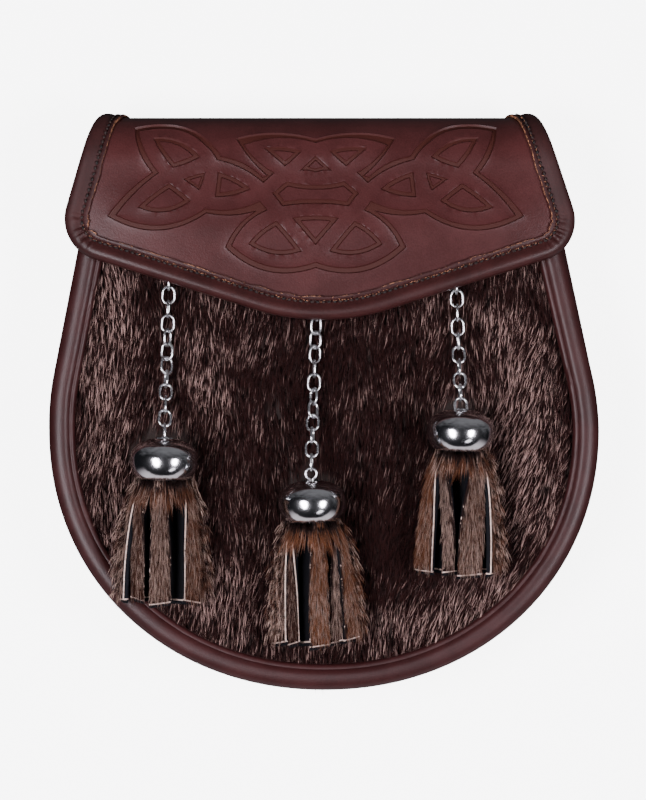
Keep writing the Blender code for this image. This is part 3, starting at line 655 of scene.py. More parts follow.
def belt_loop_piece(side, material):
    """A leather strip with rounded long edges, sewn down at both ends."""
    low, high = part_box("belt_loop_" + side)
    wall, foot, ramp = 1.4 * MM, 8.0 * MM, 3.5 * MM
    top = high.z - wall / 2
    path = [(high.y, top), (high.y - foot, top), (high.y - foot - ramp, wall / 2),
            (low.y + foot + ramp, wall / 2), (low.y + foot, top), (low.y, top)]
    line = resample(np.array(path), 60)
    for _ in range(6):
        line[1:-1] = (line[:-2] + 2 * line[1:-1] + line[2:]) / 4
    normal = -inward_of(line)
    half = (high.x - low.x) / 2
    angle = 2 * math.pi * (np.arange(28) + 0.5) / 28
    c, s = np.cos(angle), np.sin(angle)
    across = (low.x + high.x) / 2 + np.sign(c) * (half - wall / 2) + wall / 2 * c
    out = wall / 2 * np.sign(s) * np.abs(s) ** 0.5
    place = line[:, None, :] + normal[:, None, :] * out[None, :, None]
    across = np.broadcast_to(across, place.shape[:2])
    rings = np.stack([across, place[:, :, 0], np.maximum(place[:, :, 1], 0.0)], axis=-1)
    return soften(sweep("belt_strap_" + side, rings, material), 50)


# Flap

def flap_surface(u, v, out):
    """Points of the folded flap. u runs across, v down the front from the fold; out is off its middle."""
    u, v, out = np.broadcast_arrays(np.asarray(u, float), np.asarray(v, float), np.asarray(out, float))
    drop = np.clip(v / FLAP_CROWN_RUN, 0.0, 1.0)
    crown = FLAP_CROWN * drop * drop * (3 - 2 * drop) * (1 - (u / FLAP_CROWN_REACH) ** 4)
    angle = -v / FOLD_RADIUS
    y = np.where(v >= 0, FOLD_Y - v, np.where(v > -FOLD_RUN, FOLD_Y + (FOLD_RADIUS + out) * np.sin(angle),
                                              FOLD_Y + v + FOLD_RUN))
    z = np.where(v >= 0, FLAP_FRONT_Z + crown + out,
                 np.where(v > -FOLD_RUN, FOLD_Z + (FOLD_RADIUS + out) * np.cos(angle), LAP_Z - out))
    return np.stack([front_shift(u, y), y, z], axis=-1)


def unfold(x, y):
    """u and v of a point of the flap's face seen from the front."""
    out = FLAP_WALL / 2
    u = (x + FRONT_SKEW * np.maximum(0.0, y - BELLY_Y)) / (1 - FRONT_EASE / HALF_BODY)
    over = np.clip((y - FOLD_Y) / (FOLD_RADIUS + out), 0.0, 0.999)
    v = np.where(y <= FOLD_Y, FOLD_Y - y, -FOLD_RADIUS * np.arcsin(over))
    return u, v


def flap_edge(step):
    """Right half of the flap's outline from the fold's back edge to the tip: points, inward ways,
    the share of the padded roll and of the corner's gathers."""
    side_in = np.array((-math.cos(FLAP_SIDE_ANGLE), math.sin(FLAP_SIDE_ANGLE)))
    v_in = np.array((-math.sin(FLAP_V_ANGLE), -math.cos(FLAP_V_ANGLE)))
    tip_centre = np.array((0.0, FLAP_TIP_V - FLAP_TIP_RADIUS))
    on_side = np.array((HALF_FLAP_AT_FOLD, 0.0)) + side_in * FLAP_CORNER_RADIUS
    on_v = tip_centre - v_in * (FLAP_TIP_RADIUS - FLAP_CORNER_RADIUS)
    side_run = np.array((math.sin(FLAP_SIDE_ANGLE), math.cos(FLAP_SIDE_ANGLE)))
    corner = on_side + side_run * ((on_v - on_side) @ v_in) / (side_run @ v_in)
    corner_v = (corner - side_in * FLAP_CORNER_RADIUS)[1]
    rows = []
    first_v = -FOLD_RUN + FLAP_WALL / 2
    for v in np.linspace(first_v, corner_v, int((corner_v - first_v) / step))[:-1]:
        rows.append((HALF_FLAP_AT_FOLD + v * math.tan(FLAP_SIDE_ANGLE), v,
                     -1 / math.cos(FLAP_SIDE_ANGLE), 0.0, 0.0, 0.0))
    first, last = -FLAP_SIDE_ANGLE, math.pi / 2 - FLAP_V_ANGLE
    for share in np.linspace(0.0, 1.0, int(FLAP_CORNER_RADIUS * (last - first) / step * 1.3))[:-1]:
        angle = first + (last - first) * share
        out = np.array((math.cos(angle), math.sin(angle)))
        place = corner + out * FLAP_CORNER_RADIUS
        rows.append((*place, *-out, share * share * (3 - 2 * share), math.sin(math.pi * share) ** 0.6))
    start = corner - v_in * FLAP_CORNER_RADIUS
    end = tip_centre - v_in * FLAP_TIP_RADIUS
    for share in np.linspace(0.0, 1.0, int(np.linalg.norm(end - start) / step))[:-1]:
        rows.append((*(start + (end - start) * share), *v_in, 1.0, 0.0))
    for share in np.linspace(0.0, 1.0, int(FLAP_TIP_RADIUS * FLAP_V_ANGLE / step)):
        angle = FLAP_V_ANGLE * (1 - share)
        out = np.array((math.sin(angle), math.cos(angle)))
        rows.append((*(tip_centre + out * FLAP_TIP_RADIUS), *-out, 1.0, 0.0))
    return np.array(rows)


def whole_edge(step):
    right = flap_edge(step)
    left = right[-2::-1] * (-1, 1, -1, 1, 1, 1)
    return np.concatenate([right, left])


def arc_points(rows, mirrored):
    """Closed loop of front-view points from rows of point and outward bow."""
    rows = [list(row) for row in rows]
    if mirrored:
        back = []
        for here, there in zip(reversed(rows), reversed(rows[:-1])):
            back.append([-here[0], here[1], there[2]])
        rows = rows[:-1] + back
    places = np.array([row[:2] for row in rows])
    x, y = places[:, 0], places[:, 1]
    turning = np.sum(x * np.roll(y, -1) - np.roll(x, -1) * y)
    loop = []
    for i, (px, py, bow) in enumerate(rows):
        qx, qy = rows[(i + 1) % len(rows)][:2]
        chord = math.hypot(qx - px, qy - py)
        if chord < 0.05:
            continue
        out = np.array((qy - py, px - qx)) / chord * (1 if turning > 0 else -1)
        steps = max(2, int(chord / ARC_STEP))
        for k in range(steps):
            t = k / steps
            place = np.array((px + (qx - px) * t, py + (qy - py) * t)) + out * bow * 4 * t * (1 - t)
            loop.append(place)
    return np.array(loop)


def pattern_loops():
    """The knot's two outlines and the cells, as loops on the unfolded flap."""
    def unfolded(rows, mirrored, side=1):
        loop = arc_points(rows, mirrored)
        x = (PATTERN_SHIFT - side * loop[:, 0]) * MM
        u, v = unfold(x, loop[:, 1] * MM)
        return np.stack([u, v], axis=1)
    outer = unfolded(KNOT_OUTER, True)
    inner = unfolded(KNOT_INNER, True)
    cells = [unfolded(rows, False, side) for rows in SIDE_CELLS for side in (1, -1)]
    cells += [unfolded(rows, True) for rows in MIDDLE_CELLS]
    return outer, inner, cells


def inside(points, loop):
    """Which points lie inside a closed loop."""
    x, y = points[:, 0][:, None], points[:, 1][:, None]
    x1, y1 = loop[:, 0][None], loop[:, 1][None]
    x2, y2 = np.roll(loop[:, 0], -1)[None], np.roll(loop[:, 1], -1)[None]
    crosses = (y1 > y) != (y2 > y)
    rise = np.where(y2 == y1, 1e-12, y2 - y1)
    return np.sum(crosses & (x < (x2 - x1) * (y - y1) / rise + x1), axis=1) % 2 == 1


def depth_in(points, loop):
    """Distance of each point inside a loop (negative outside)."""
    a, b = loop, np.roll(loop, -1, axis=0)
    run = b - a
    length = np.maximum((run ** 2).sum(axis=1), 1e-14)
    found = np.full(len(points), 1e9)
    for start in range(0, len(points), 4000):
        part = points[start:start + 4000]
        t = np.clip(((part[:, None] - a[None]) * run[None]).sum(axis=2) / length[None], 0.0, 1.0)
        near = a[None] + run[None] * t[:, :, None]
        found[start:start + 4000] = np.linalg.norm(part[:, None] - near, axis=2).min(axis=1)
    return np.where(inside(points, loop), found, -found)


def offset_loop(loop, distance):
    """A loop drawn in by a distance, with mitred corners."""
    before = loop - np.roll(loop, 1, axis=0)
    after = np.roll(loop, -1, axis=0) - loop
    before /= np.linalg.norm(before, axis=1)[:, None]
    after /= np.linalg.norm(after, axis=1)[:, None]
    area = np.sum(loop[:, 0] * np.roll(loop[:, 1], -1) - np.roll(loop[:, 0], -1) * loop[:, 1])
    sign = 1 if area > 0 else -1
    n1 = np.stack([-before[:, 1], before[:, 0]], axis=1) * sign
    n2 = np.stack([-after[:, 1], after[:, 0]], axis=1) * sign
    middle = n1 + n2
    middle /= np.maximum(np.linalg.norm(middle, axis=1)[:, None], 1e-9)
    reach = np.maximum((middle * n1).sum(axis=1), 0.3)
    return loop + middle * (distance / reach)[:, None]


def cell_size(cell):
    """Distance from a cell's middle to its sides, and the width of the channel inside it."""
    low, high = cell.min(axis=0), cell.max(axis=0)
    u, v = np.meshgrid(np.linspace(low[0], high[0], 24), np.linspace(low[1], high[1], 24))
    reach = depth_in(np.stack([u.ravel(), v.ravel()], axis=1), cell).max()
    return reach, min(CELL_CHANNEL, 0.58 * reach)


def press_height(points, outer, inner, cells):
    """How far the leather is pressed down (0 to 1) and puffed up beside the channels (0 to 1)."""
    ring = np.minimum(depth_in(points, outer), -depth_in(points, inner))
    press = np.clip(ring / PRESS_RAMP, 0.0, 1.0)
    near = np.abs(ring)
    for cell in cells:
        deep = depth_in(points, cell)
        wide = cell_size(cell)[1]
        channel = np.minimum(deep, wide - deep)
        press = np.maximum(press, np.clip(channel / min(PRESS_RAMP, wide * 0.4), 0.0, 1.0))
        near = np.where(deep > 0, 1.0, np.minimum(near, -deep))
    puff = np.exp(-near / PUFF_FADE) * (1 - press)
    return press, puff


def flap_lines(outer, inner, cells):
    """Loops that the flap's mesh follows: both sides of every channel's ramps."""
    lines = [outer, offset_loop(outer, PRESS_RAMP), inner, offset_loop(inner, -PRESS_RAMP)]
    for cell in cells:
        reach, channel = cell_size(cell)
        ramp = min(PRESS_RAMP, channel * 0.4)
        lines += [cell] + [offset_loop(cell, step) for step in (ramp, channel - ramp, channel)]
        if reach - channel > 1.1 * MM:
            lines.append(offset_loop(cell, channel + PUFF_LINE))
    lines += [offset_loop(outer, -PUFF_LINE), offset_loop(inner, PUFF_LINE)]
    return lines + [offset_loop(cell, -PUFF_LINE) for cell in cells]


def flap_outline():
    """The flap's own edge on the unfolded leather, round the lap too."""
    edge = whole_edge(1.5 * MM)
    half, hinge, end = LAP_WIDTH / 2, -FOLD_RUN - FLAP_WALL / 2, -FOLD_RUN - LAP_LENGTH
    lap = [(-half, hinge), (-half, end), (half, end), (half, hinge)]
    corners = np.concatenate([edge[:, :2] + edge[:, 2:4] * FLAP_INSET, lap])
    run = []
    for here, there in zip(corners, np.roll(corners, -1, axis=0)):
        steps = max(1, int(np.linalg.norm(there - here) / (2.0 * MM)))
        run += [here + (there - here) * k / steps for k in range(steps)]
    return np.array(run)


def flap_piece(material):
    """The flap's leather, triangulated along the pressed lines so that their edges are crisp."""
    pattern = pattern_loops()
    lines = flap_lines(*pattern)
    closed = flap_outline()
    wide, ups = np.abs(closed[:, 0]).max(), closed[:, 1]
    rows = np.arange(ups.min(), ups.max(), FLAP_GRID)
    grid_u, grid_v = np.meshgrid(np.arange(-wide, wide, FLAP_GRID), rows)
    grid_u = grid_u + (np.arange(len(grid_u)) % 2)[:, None] * FLAP_GRID / 2
    grid = np.stack([grid_u.ravel(), grid_v.ravel()], axis=1)
    grid = grid[depth_in(grid, closed) > 0.7 * MM]
    for line in lines:
        grid = grid[np.abs(depth_in(grid, line)) > 0.45 * MM]
    joints, start = [], 0
    for loop in [closed] + lines:
        joints += [(start + i, start + (i + 1) % len(loop)) for i in range(len(loop))]
        start += len(loop)
    flat = np.concatenate([closed] + lines + [grid])
    made = delaunay_2d_cdt([Vector(p / MM) for p in flat], joints, [], 0, 0.001)
    flat = np.array([tuple(p) for p in made[0]]) * MM
    faces = np.array([face for face in made[2] if len(face) == 3])
    faces = faces[depth_in(flat[faces].mean(axis=1), closed) > 0.0]
    used, faces = np.unique(faces, return_inverse=True)
    faces = faces.reshape(-1, 3)
    flat = flat[used]
    count = len(flat)
    press, puff = press_height(flat, *pattern)
    top = flap_surface(*flat.T, FLAP_WALL / 2 - PRESS_DEPTH * press + PUFF * puff)
    bottom = flap_surface(*flat.T, -FLAP_WALL / 2)
    sides = dict.fromkeys(side for face in faces.tolist() for side in zip(face, face[1:] + face[:1]))
    walls = [(b, a, a + count, b + count) for a, b in sides if (b, a) not in sides]
    faces = faces.tolist() + (faces[:, ::-1] + count).tolist() + walls
    made = mesh_object("flap_pressed", np.concatenate([top, bottom]), faces, material,
                       {"pressed": np.concatenate([press, np.zeros(count)])})
    return soften(outward(made), 30)


def binding_piece(material):
    """The binding: a padded roll, the valley of the stitch line and a flat flange with a raw edge."""
    edge = whole_edge(0.62 * MM)
    count = len(edge)
    lower, gather = edge[:, 4], edge[:, 5]
    inner = FLAP_WALL / 2 + 0.25 * MM
    wobble = wavy(count, 5, 7) * 0.16 * MM + gather * wavy(count, 6, 4) * 0.28 * MM
    pull = 0.675 + 0.325 * np.cos(2 * np.pi * run_along(edge[:, :2]) / STITCH_SPACING)
    pleat = gather * np.clip(wavy(count, 14, 2), -1.4, 1.4) * 0.50 * MM
    roll = FLAP_SKIN + 0.15 * MM + lower * (BINDING_ROLL - 0.15 * MM)
    columns = [(BINDING_FACE + wobble, inner), (BINDING_FACE + wobble, FLAP_SKIN - 0.2 * MM),
               (BINDING_FACE - 0.35 * MM + wobble * 0.7, FLAP_SKIN - 0.1 * MM),
               (7.2 * MM, FLAP_SKIN - 0.25 * MM)]
    for depth, valley in ((6.6, 0.60), (6.2, 1.05), (5.8, 0.50)):
        columns.append((depth * MM, FLAP_SKIN - 0.2 * MM - valley * MM * pull))
    for depth in (5.3, 4.6, 3.8, 3.0, 2.2, 1.4, 0.8, 0.35, 0.08):
        across = (depth - 2.6) / (2.6 if depth < 2.6 else 3.3)
        fade = min(max((depth - 1.5) / 3.8, 0.0), 1.0) ** 1.5
        out = roll * math.sqrt(max(1 - abs(across) ** 2.3, 0.0)) + pleat * fade
        columns.append((depth * MM, np.maximum(out, FLAP_SKIN - 0.6 * MM) if depth > 5.0 else out))
    columns.append((0.0, 0.0))
    for depth in (0.08 * MM, 0.4 * MM, 1.1 * MM, 2.2 * MM, 4.2 * MM, BINDING_UNDER):
        columns.append((depth, -FLAP_SKIN * min(1.0, (0.08 + depth / (1.1 * MM)) ** 0.5)))
    columns += [(BINDING_UNDER, -inner), (1.1 * MM, -inner), (1.1 * MM, inner)]
    rings = np.stack([on_edge(edge, depth, out) for depth, out in columns], axis=1)
    bare = 0.34 + 0.34 * np.clip(wavy(count, 9, 10), -1.0, 1.0)
    bare = np.clip(bare + 0.55 * (edge[:, 0] > 0) * (1 - lower) + 0.5 * gather, 0.0, 1.0)
    raw = np.zeros((count, len(columns)))
    raw[:, :2] = bare[:, None]
    dull = np.repeat(1 - lower[:, None], len(columns), axis=1)
    return soften(sweep("flap_edging", rings, material, {"raw": raw, "dull": dull}), 50)


def on_edge(edge, depth, out):
    """Points along the flap's edge, in from it by depth and out from the flap's middle."""
    spot = edge[:, :2] + edge[:, 2:4] * np.broadcast_to(depth, len(edge))[:, None]
    return flap_surface(spot[:, 0], spot[:, 1], out)


# Repeats by Geometry Nodes

def new_tree(name, **inputs):
    """A node tree with a geometry input and named inputs of the given kinds."""
    tree = bpy.data.node_groups.new(name, "GeometryNodeTree")
    tree.interface.new_socket("Geometry", in_out="INPUT", socket_type="NodeSocketGeometry")
    for label, kind in inputs.items():
        tree.interface.new_socket(label, in_out="INPUT", socket_type="NodeSocket" + kind)
    tree.interface.new_socket("Geometry", in_out="OUTPUT", socket_type="NodeSocketGeometry")
    net = Net(tree)
    start = tree.nodes.new("NodeGroupInput")
    return net, {output.name: Socket(net, output) for output in start.outputs if output.name}


def end_tree(net, geometry, material):
    real = net.node("GeometryNodeRealizeInstances", {0: geometry})
    last = net.node("GeometryNodeSetMaterial", {"Geometry": real, "Material": material})
    end = net.tree.nodes.new("NodeGroupOutput")
    net.tree.links.new(last.socket, end.inputs[0])
    return net.tree


def run_tree(made, tree, name, values):
    """Puts a tree on an object, sets its named inputs and gives the plain result."""
    modifier = made.modifiers.new(tree.name, "NODES")
    modifier.node_group = tree
    for item in tree.interface.items_tree:
        if item.in_out == "INPUT" and item.name in values:
            modifier[item.identifier] = values[item.name]
    return soften(baked(made, name))


def hair_tree():
    """Locks of hair over a surface, laid along its flow attribute."""
    net, given = new_tree("hair_coat", Locks="Collection", Kinds="Int", Density="Float", Seed="Int",
                          Long="Float", Yaw="Float", Pitch="Float", Material="Material")

    def chance(low, high, seed):
        return net.node("FunctionNodeRandomValue", {2: low, 3: high, "Seed": seed}, 1, data_type="FLOAT")

    thick = net.node("GeometryNodeInputNamedAttribute", {"Name": "thick"}, data_type="FLOAT")
    flow = net.node("GeometryNodeInputNamedAttribute", {"Name": "flow"}, data_type="FLOAT_VECTOR")
    points = net.node("GeometryNodeDistributePointsOnFaces", {
        "Mesh": given["Geometry"], "Density": thick * given["Density"], "Seed": given["Seed"]}, "Points")
    normal = Socket(net, points.socket.node.outputs["Normal"])
    turned = net.node("FunctionNodeAxesToRotation", {"Primary Axis": normal, "Secondary Axis": flow},
                      primary_axis="Z", secondary_axis="X")
    pitch = chance(0.0 - given["Pitch"], given["Pitch"] * 0.4, 4)
    tilt = net.node("ShaderNodeCombineXYZ", {"Y": pitch, "Z": chance(0.0 - given["Yaw"], given["Yaw"], 3)})
    turned = net.turned_by(turned, tilt)
    size = chance(0.72, 1.25, 5)
    locks = net.node("GeometryNodeCollectionInfo", {
        "Collection": given["Locks"], "Separate Children": True, "Reset Children": True},
                     transform_space="ORIGINAL")
    kind = net.node("FunctionNodeRandomValue", {4: 0, 5: given["Kinds"] - 1.0, "Seed": 6}, 2, data_type="INT")
    scale = net.node("ShaderNodeCombineXYZ", {"X": size * given["Long"], "Y": 1.0, "Z": size})
    placed = net.node("GeometryNodeInstanceOnPoints", {
        "Points": points, "Instance": locks, "Pick Instance": True, "Instance Index": kind,
        "Rotation": turned, "Scale": scale})
    placed = net.node("GeometryNodeStoreNamedAttribute", {
        "Geometry": placed, "Name": "tone", "Value": chance(0.0, 1.0, 7)},
                      data_type="FLOAT", domain="INSTANCE")
    return end_tree(net, placed, given["Material"])


def path_tree():
    """Copies of a small shape along a path, each turned a little."""
    net, given = new_tree("along_path", Shape="Object", Spacing="Float", Loose="Float", Tilt="Float",
                          Seed="Int", Material="Material")
    curve = net.node("GeometryNodeMeshToCurve", {0: given["Geometry"]})
    points = net.node("GeometryNodeCurveToPoints", {"Curve": curve, "Length": given["Spacing"]}, "Points",
                      mode="LENGTH")
    along = Socket(net, points.socket.node.outputs["Rotation"])
    spread = net.node("FunctionNodeRandomValue", {
        0: (-1.0, -1.0, -1.0), 1: (1.0, 1.0, 1.0), "Seed": given["Seed"]}, data_type="FLOAT_VECTOR")

    def spread_by(share):
        return net.node("ShaderNodeVectorMath", {0: spread, "Scale": share}, operation="SCALE")

    placed = net.node("GeometryNodeSetPosition", {"Geometry": points, "Offset": spread_by(given["Loose"])})
    shape = net.node("GeometryNodeObjectInfo", {"Object": given["Shape"]}, "Geometry",
                     transform_space="ORIGINAL")
    placed = net.node("GeometryNodeInstanceOnPoints", {
        "Points": placed, "Instance": shape, "Rotation": net.turned_by(along, spread_by(given["Tilt"]))})
    return end_tree(net, placed, given["Material"])


def stitch_row(name, points, spacing, material, length, thickness, tilt, loose=0.05 * MM, seed=1):
    """Short spindles along a line of points, sunk at both ends."""
    angle = circle(6)
    rings = []
    for t in np.linspace(0.0, 1.0, 5):
        r = thickness / 2 * (0.45 + 0.55 * math.sin(math.pi * t))
        rings.append(np.stack([r * np.cos(angle), r * np.sin(angle), np.full(6, (t - 0.5) * length)], axis=1))
    shape = soften(sweep("stitch", np.array(rings)))
    path = bpy.data.meshes.new("path")
    path.from_pydata([tuple(p) for p in points], [(i, i + 1) for i in range(len(points) - 1)], [])
    made = run_tree(linked("path", path), PATH_TREE, name, {
        "Shape": shape, "Spacing": spacing, "Loose": loose, "Tilt": tilt, "Seed": seed, "Material": material})
    bpy.data.objects.remove(shape, do_unlink=True)
    return seat(made, "leather")


def hair_lock(name, rng, hairs, length, spread, lift, thickness, clump, straight):
    """A lock of tapered hairs along local X, lifting along Z, drawn together at the tip."""
    points, faces, along, shade = [], [], [], []
    tip_aim = rng.normal() * 0.4 * spread
    for _ in range(hairs):
        root = (rng.uniform(-1, 1) * spread * 1.8, rng.uniform(-1, 1) * spread)
        reach = length * rng.uniform(0.65, 1.12)
        rise = lift * rng.uniform(0.6, 1.35)
        bend = rng.normal() * 0.05 * length
        end_y = root[1] * (1 - clump) + tip_aim * clump + rng.normal() * 0.25 * spread
        own = rng.uniform()
        base = len(points)
        for ring, t in enumerate((0.0,) if straight else (0.0, 0.5)):
            centre = np.array((root[0] + reach * t, root[1] + (end_y - root[1]) * t + bend * 4 * t * (1 - t),
                               rise * (2.1 * t - 1.25 * t * t)))
            radius = thickness / 2 * (1.0, 0.9)[ring]
            for k in range(3):
                angle = 2 * math.pi * k / 3 + 0.5
                points.append(centre + np.array((0.0, radius * math.cos(angle), radius * math.sin(angle))))
                along.append(t)
                shade.append(own)
        points.append(np.array((root[0] + reach, end_y, rise * 0.85)))
        along.append(1.0)
        shade.append(own)
        tip = len(points) - 1
        faces.append((base, base + 1, base + 2))
        for k in range(3):
            n = (k + 1) % 3
            if straight:
                faces.append((base + n, base + k, tip))
            else:
                faces.append((base + n, base + k, base + 3 + k, base + 3 + n))
                faces.append((base + 3 + n, base + 3 + k, tip))
    return soften(outward(mesh_object(name, points, faces, None, {"along": along, "shade": shade})))


def lock_collection(name, seed, kinds, **shape):
    rng = np.random.default_rng(seed)
    group = bpy.data.collections.new(name)
    for k in range(kinds):
        made = hair_lock("%s_%d" % (name, k), rng, **shape)
        bpy.context.scene.collection.objects.unlink(made)
        group.objects.link(made)
    return group


def remove_collection(group):
    for made in list(group.objects):
        bpy.data.objects.remove(made, do_unlink=True)
    bpy.data.collections.remove(group)


def hair_ground(points, faces, flow, way, probe, thick, pale, warm):
    """A surface for hair to grow on. Its face number probe is made to look the given way."""
    grid = points.shape[:2]
    marks = {"thick": thick, "pale": pale, "warm": warm}
    made = mesh_object("ground", points.reshape(-1, 3), faces.tolist(), None,
                       {key: np.broadcast_to(value, grid) for key, value in marks.items()})
    store = made.data.attributes.new("flow", "FLOAT_VECTOR", "POINT")
    store.data.foreach_set("vector", flow.reshape(-1).astype(np.float32))
    if np.dot(np.array(made.data.polygons[probe].normal), way) < 0:
        made.data.flip_normals()
    return made


def grown(name, ground, locks, density, seed, long, yaw, pitch, material):
    """Hair on a surface, as a plain mesh. The surface is used up."""
    return run_tree(ground, HAIR_TREE, name, {
        "Locks": locks, "Kinds": len(locks.objects), "Density": density, "Seed": seed, "Long": long,
        "Yaw": yaw, "Pitch": pitch, "Material": material})


# Fur front

PALE_PATCHES = (
    # across, up, half width, half height (mm), strength
    (-77, 20, 8, 42, 0.60), (-73, -30, 8, 30, 0.50), (-70, 42, 10, 14, 0.4), (71, -22, 14, 30, 0.85),
    (58, -70, 20, 10, 0.8), (60, 26, 18, 14, 0.45), (66, 4, 12, 16, 0.35), (30, -76, 22, 9, 0.6),
    (-36, -66, 26, 12, 0.6), (-40, 10, 12, 30, 0.35), (28, -46, 14, 16, -0.5), (0, 0, 30, 44, -0.18),
)


def pale_at(x, y):
    """How many pale tips the fur has at a place."""
    found = np.zeros_like(x)
    for across, up, wide, high, strength in PALE_PATCHES:
        away = ((x / MM - across) / wide) ** 2 + ((y / MM - up) / high) ** 2
        found = found + strength * np.exp(-away)
    return np.clip(found, -0.6, 1.0)


def hide_grid(around, rings):
    """Points of the hide's skin inside the front rim."""
    line, inward = body_line(around, 1.0)
    edge = line + inward * (RIM_WIDTH - 0.6 * MM)
    edge[:, 1] = np.minimum(edge[:, 1], BODY_TOP_Y)
    top = np.linspace(edge[-1], edge[0], around // 4)[1:-1]
    loop = np.concatenate([edge, top])
    centre = np.array((edge[:, 0].mean(), -6.0 * MM))
    spots = centre + (loop[None] - centre) * np.linspace(1.0, 0.02, rings)[:, None, None]
    height = hide_face(spots[:, :, 0], spots[:, :, 1]) - HIDE_DROP
    return np.concatenate([spots, height[:, :, None]], axis=2)


def hide_piece(material):
    """The hide under the fur: a closed domed sheet."""
    top = hide_grid(90, 16)
    rings = np.concatenate([top[::-1], top - (0.0, 0.0, 1.6 * MM)])
    return soften(sweep("fur_hide", rings, material), 40)


def fur_ground():
    """The surface that the hairs grow on, with their flow, thickness and pale patches."""
    points = hide_grid(150, 44)
    x, y = points[:, :, 0], points[:, :, 1]
    rng = np.random.default_rng(12)
    wave = np.zeros_like(x)
    for _ in range(14):
        k = rng.normal(size=2) * 2 * math.pi / (30 * MM)
        wave += np.sin(k[0] * x + k[1] * y * 0.6 + rng.uniform(0, 6.28)) * 0.038
    right = np.clip(x / (70 * MM), 0.0, 1.0)
    left = np.clip(-x / (90 * MM), 0.0, 1.0)
    yaw = -0.42 * right * np.clip((40 * MM - y) / (60 * MM), 0.0, 1.0) - 0.10 * left + wave
    flow = np.stack([np.sin(yaw), -np.cos(yaw), np.zeros_like(x)], axis=-1)
    thick = np.where(y > 46.0 * MM + np.abs(x) * math.tan(FLAP_V_ANGLE), 0.0, 1.0)
    for side in SIDES:
        centre = cap_frame(side)[0]
        beside = (x - centre[0]) / (CAP_RADIUS + 0.6 * MM)
        above = (y - centre[1] - 3.5 * MM) / (10.5 * MM)
        thick = np.where(beside ** 2 + above ** 2 < 1.0, 0.0, thick)
    faces = grid_faces(*x.shape, around=True)[:, (0, 3, 2, 1)]
    return hair_ground(points, faces, flow, (0.0, 0.0, 1.0), 0, thick, pale_at(x, y), 0.12)


def front_fur(material):
    """A dense dark undercoat of straight hairs and two layers of longer bent hairs."""
    ground = fur_ground()
    under = lock_collection("under_lock", 3, 8, hairs=7, length=6.4 * MM, spread=1.1 * MM, lift=1.6 * MM,
                            thickness=0.26 * MM, clump=0.0, straight=True)
    over = lock_collection("over_lock", 4, 12, hairs=4, length=7.6 * MM, spread=1.15 * MM, lift=1.9 * MM,
                           thickness=0.23 * MM, clump=0.04, straight=False)
    share = 1.0
    coats = (("fur_under", under, 290000, 0.14, 0.10), ("fur_over_1", over, 200000, 0.12, 0.08),
             ("fur_over_2", over, 200000, 0.12, 0.08))
    for seed, (name, locks, density, yaw, pitch) in enumerate(coats, 1):
        seat(grown(name, twin(ground), locks, density * share, seed, 1.0, yaw, pitch, material), "fur")
    remove_collection(under)
    remove_collection(over)
    bpy.data.objects.remove(ground, do_unlink=True)


# Chains and caps

def node_points(node):
    """Distinct points of a node's mesh."""
    data = frame["nodes"][node].data
    places = np.empty(len(data.vertices) * 3)
    data.vertices.foreach_get("co", places)
    return np.unique(np.round(places.reshape(-1, 3), 6), axis=0)


def main_axes(points):
    """Centre and axes of a cloud of points, the longest first."""
    centre = points.mean(axis=0)
    values, ways = np.linalg.eigh(np.cov((points - centre).T))
    order = np.argsort(values)[::-1]
    return centre, ways[:, order].T, values[order]


def link_piece(node, material):
    """A smooth oval link where the frame's link lies."""
    centre, (long_way, wide_way, face), _ = main_axes(node_points(node))
    ring = (LINK_WIDTH - LINK_WIRE) / 2
    apart = (LINK_LENGTH - LINK_WIDTH) / 2
    rings = []
    for a in circle(36):
        out = math.cos(a) * wide_way + math.sin(a) * long_way
        base = centre + out * ring + long_way * apart * min(max(math.sin(a) * 6, -1.0), 1.0)
        rings.append([base + (out * math.cos(t) + face * math.sin(t)) * LINK_WIRE / 2
                      for t in circle(10)])
    made = sweep(node + "_wire", np.array(rings), material, closed=True)
    return seat(soften(made), "chrome", node)


def cap_frame(side):
    """Centre of the cap's widest ring and the ways across, up the tassel and out."""
    points = node_points("tassel_cap_" + side)
    centre, axes, values = main_axes(points)
    ratio = [abs(values[k] - (values.sum() - values[k]) / 2) for k in range(3)]
    up = axes[int(np.argmax(ratio))]
    up = up if up[1] > 0 else -up
    along = (points - centre) @ up
    radius = np.linalg.norm((points - centre) - along[:, None] * up, axis=1)
    widest = along[radius > radius.max() - 0.01 * MM].mean()
    across = np.cross(up, (0.0, 0.0, 1.0))
    across /= np.linalg.norm(across)
    return centre + up * widest, across, up, np.cross(across, up)


def cap_skin(wall, count):
    """Radius and height down one skin of the cap, from the hole to the mouth."""
    radius = CAP_RADIUS - wall
    rows = []
    for edge, reach, power, sign in ((CAP_HOLE / 2, CAP_ABOVE - wall, 2.2, 1),
                                     (CAP_MOUTH / 2, CAP_BELOW, 2.4, -1)):
        full = reach / (1 - (edge / radius) ** power) ** (1 / power)
        last = math.asin(min((reach / full) ** (power / 2), 1.0))
        rows.append([(radius * math.cos(a) ** (2 / power), sign * full * math.sin(a) ** (2 / power))
                     for a in last * np.linspace(0.0, 1.0, count)])
    return rows[0][::-1] + rows[1][1:]


def cap_piece(side, material):
    centre, across, up, out = cap_frame(side)
    profile = cap_skin(0.0, 16) + cap_skin(CAP_WALL, 9)[::-1]
    rings = []
    for angle in circle(64):
        way = across * math.cos(angle) + out * math.sin(angle)
        rings.append([centre + way * r + up * h for r, h in profile])
    made = sweep("cap_dome_" + side, np.array(rings), material, closed=True)
    return seat(soften(made, 50), "chrome", "tassel_cap_" + side)


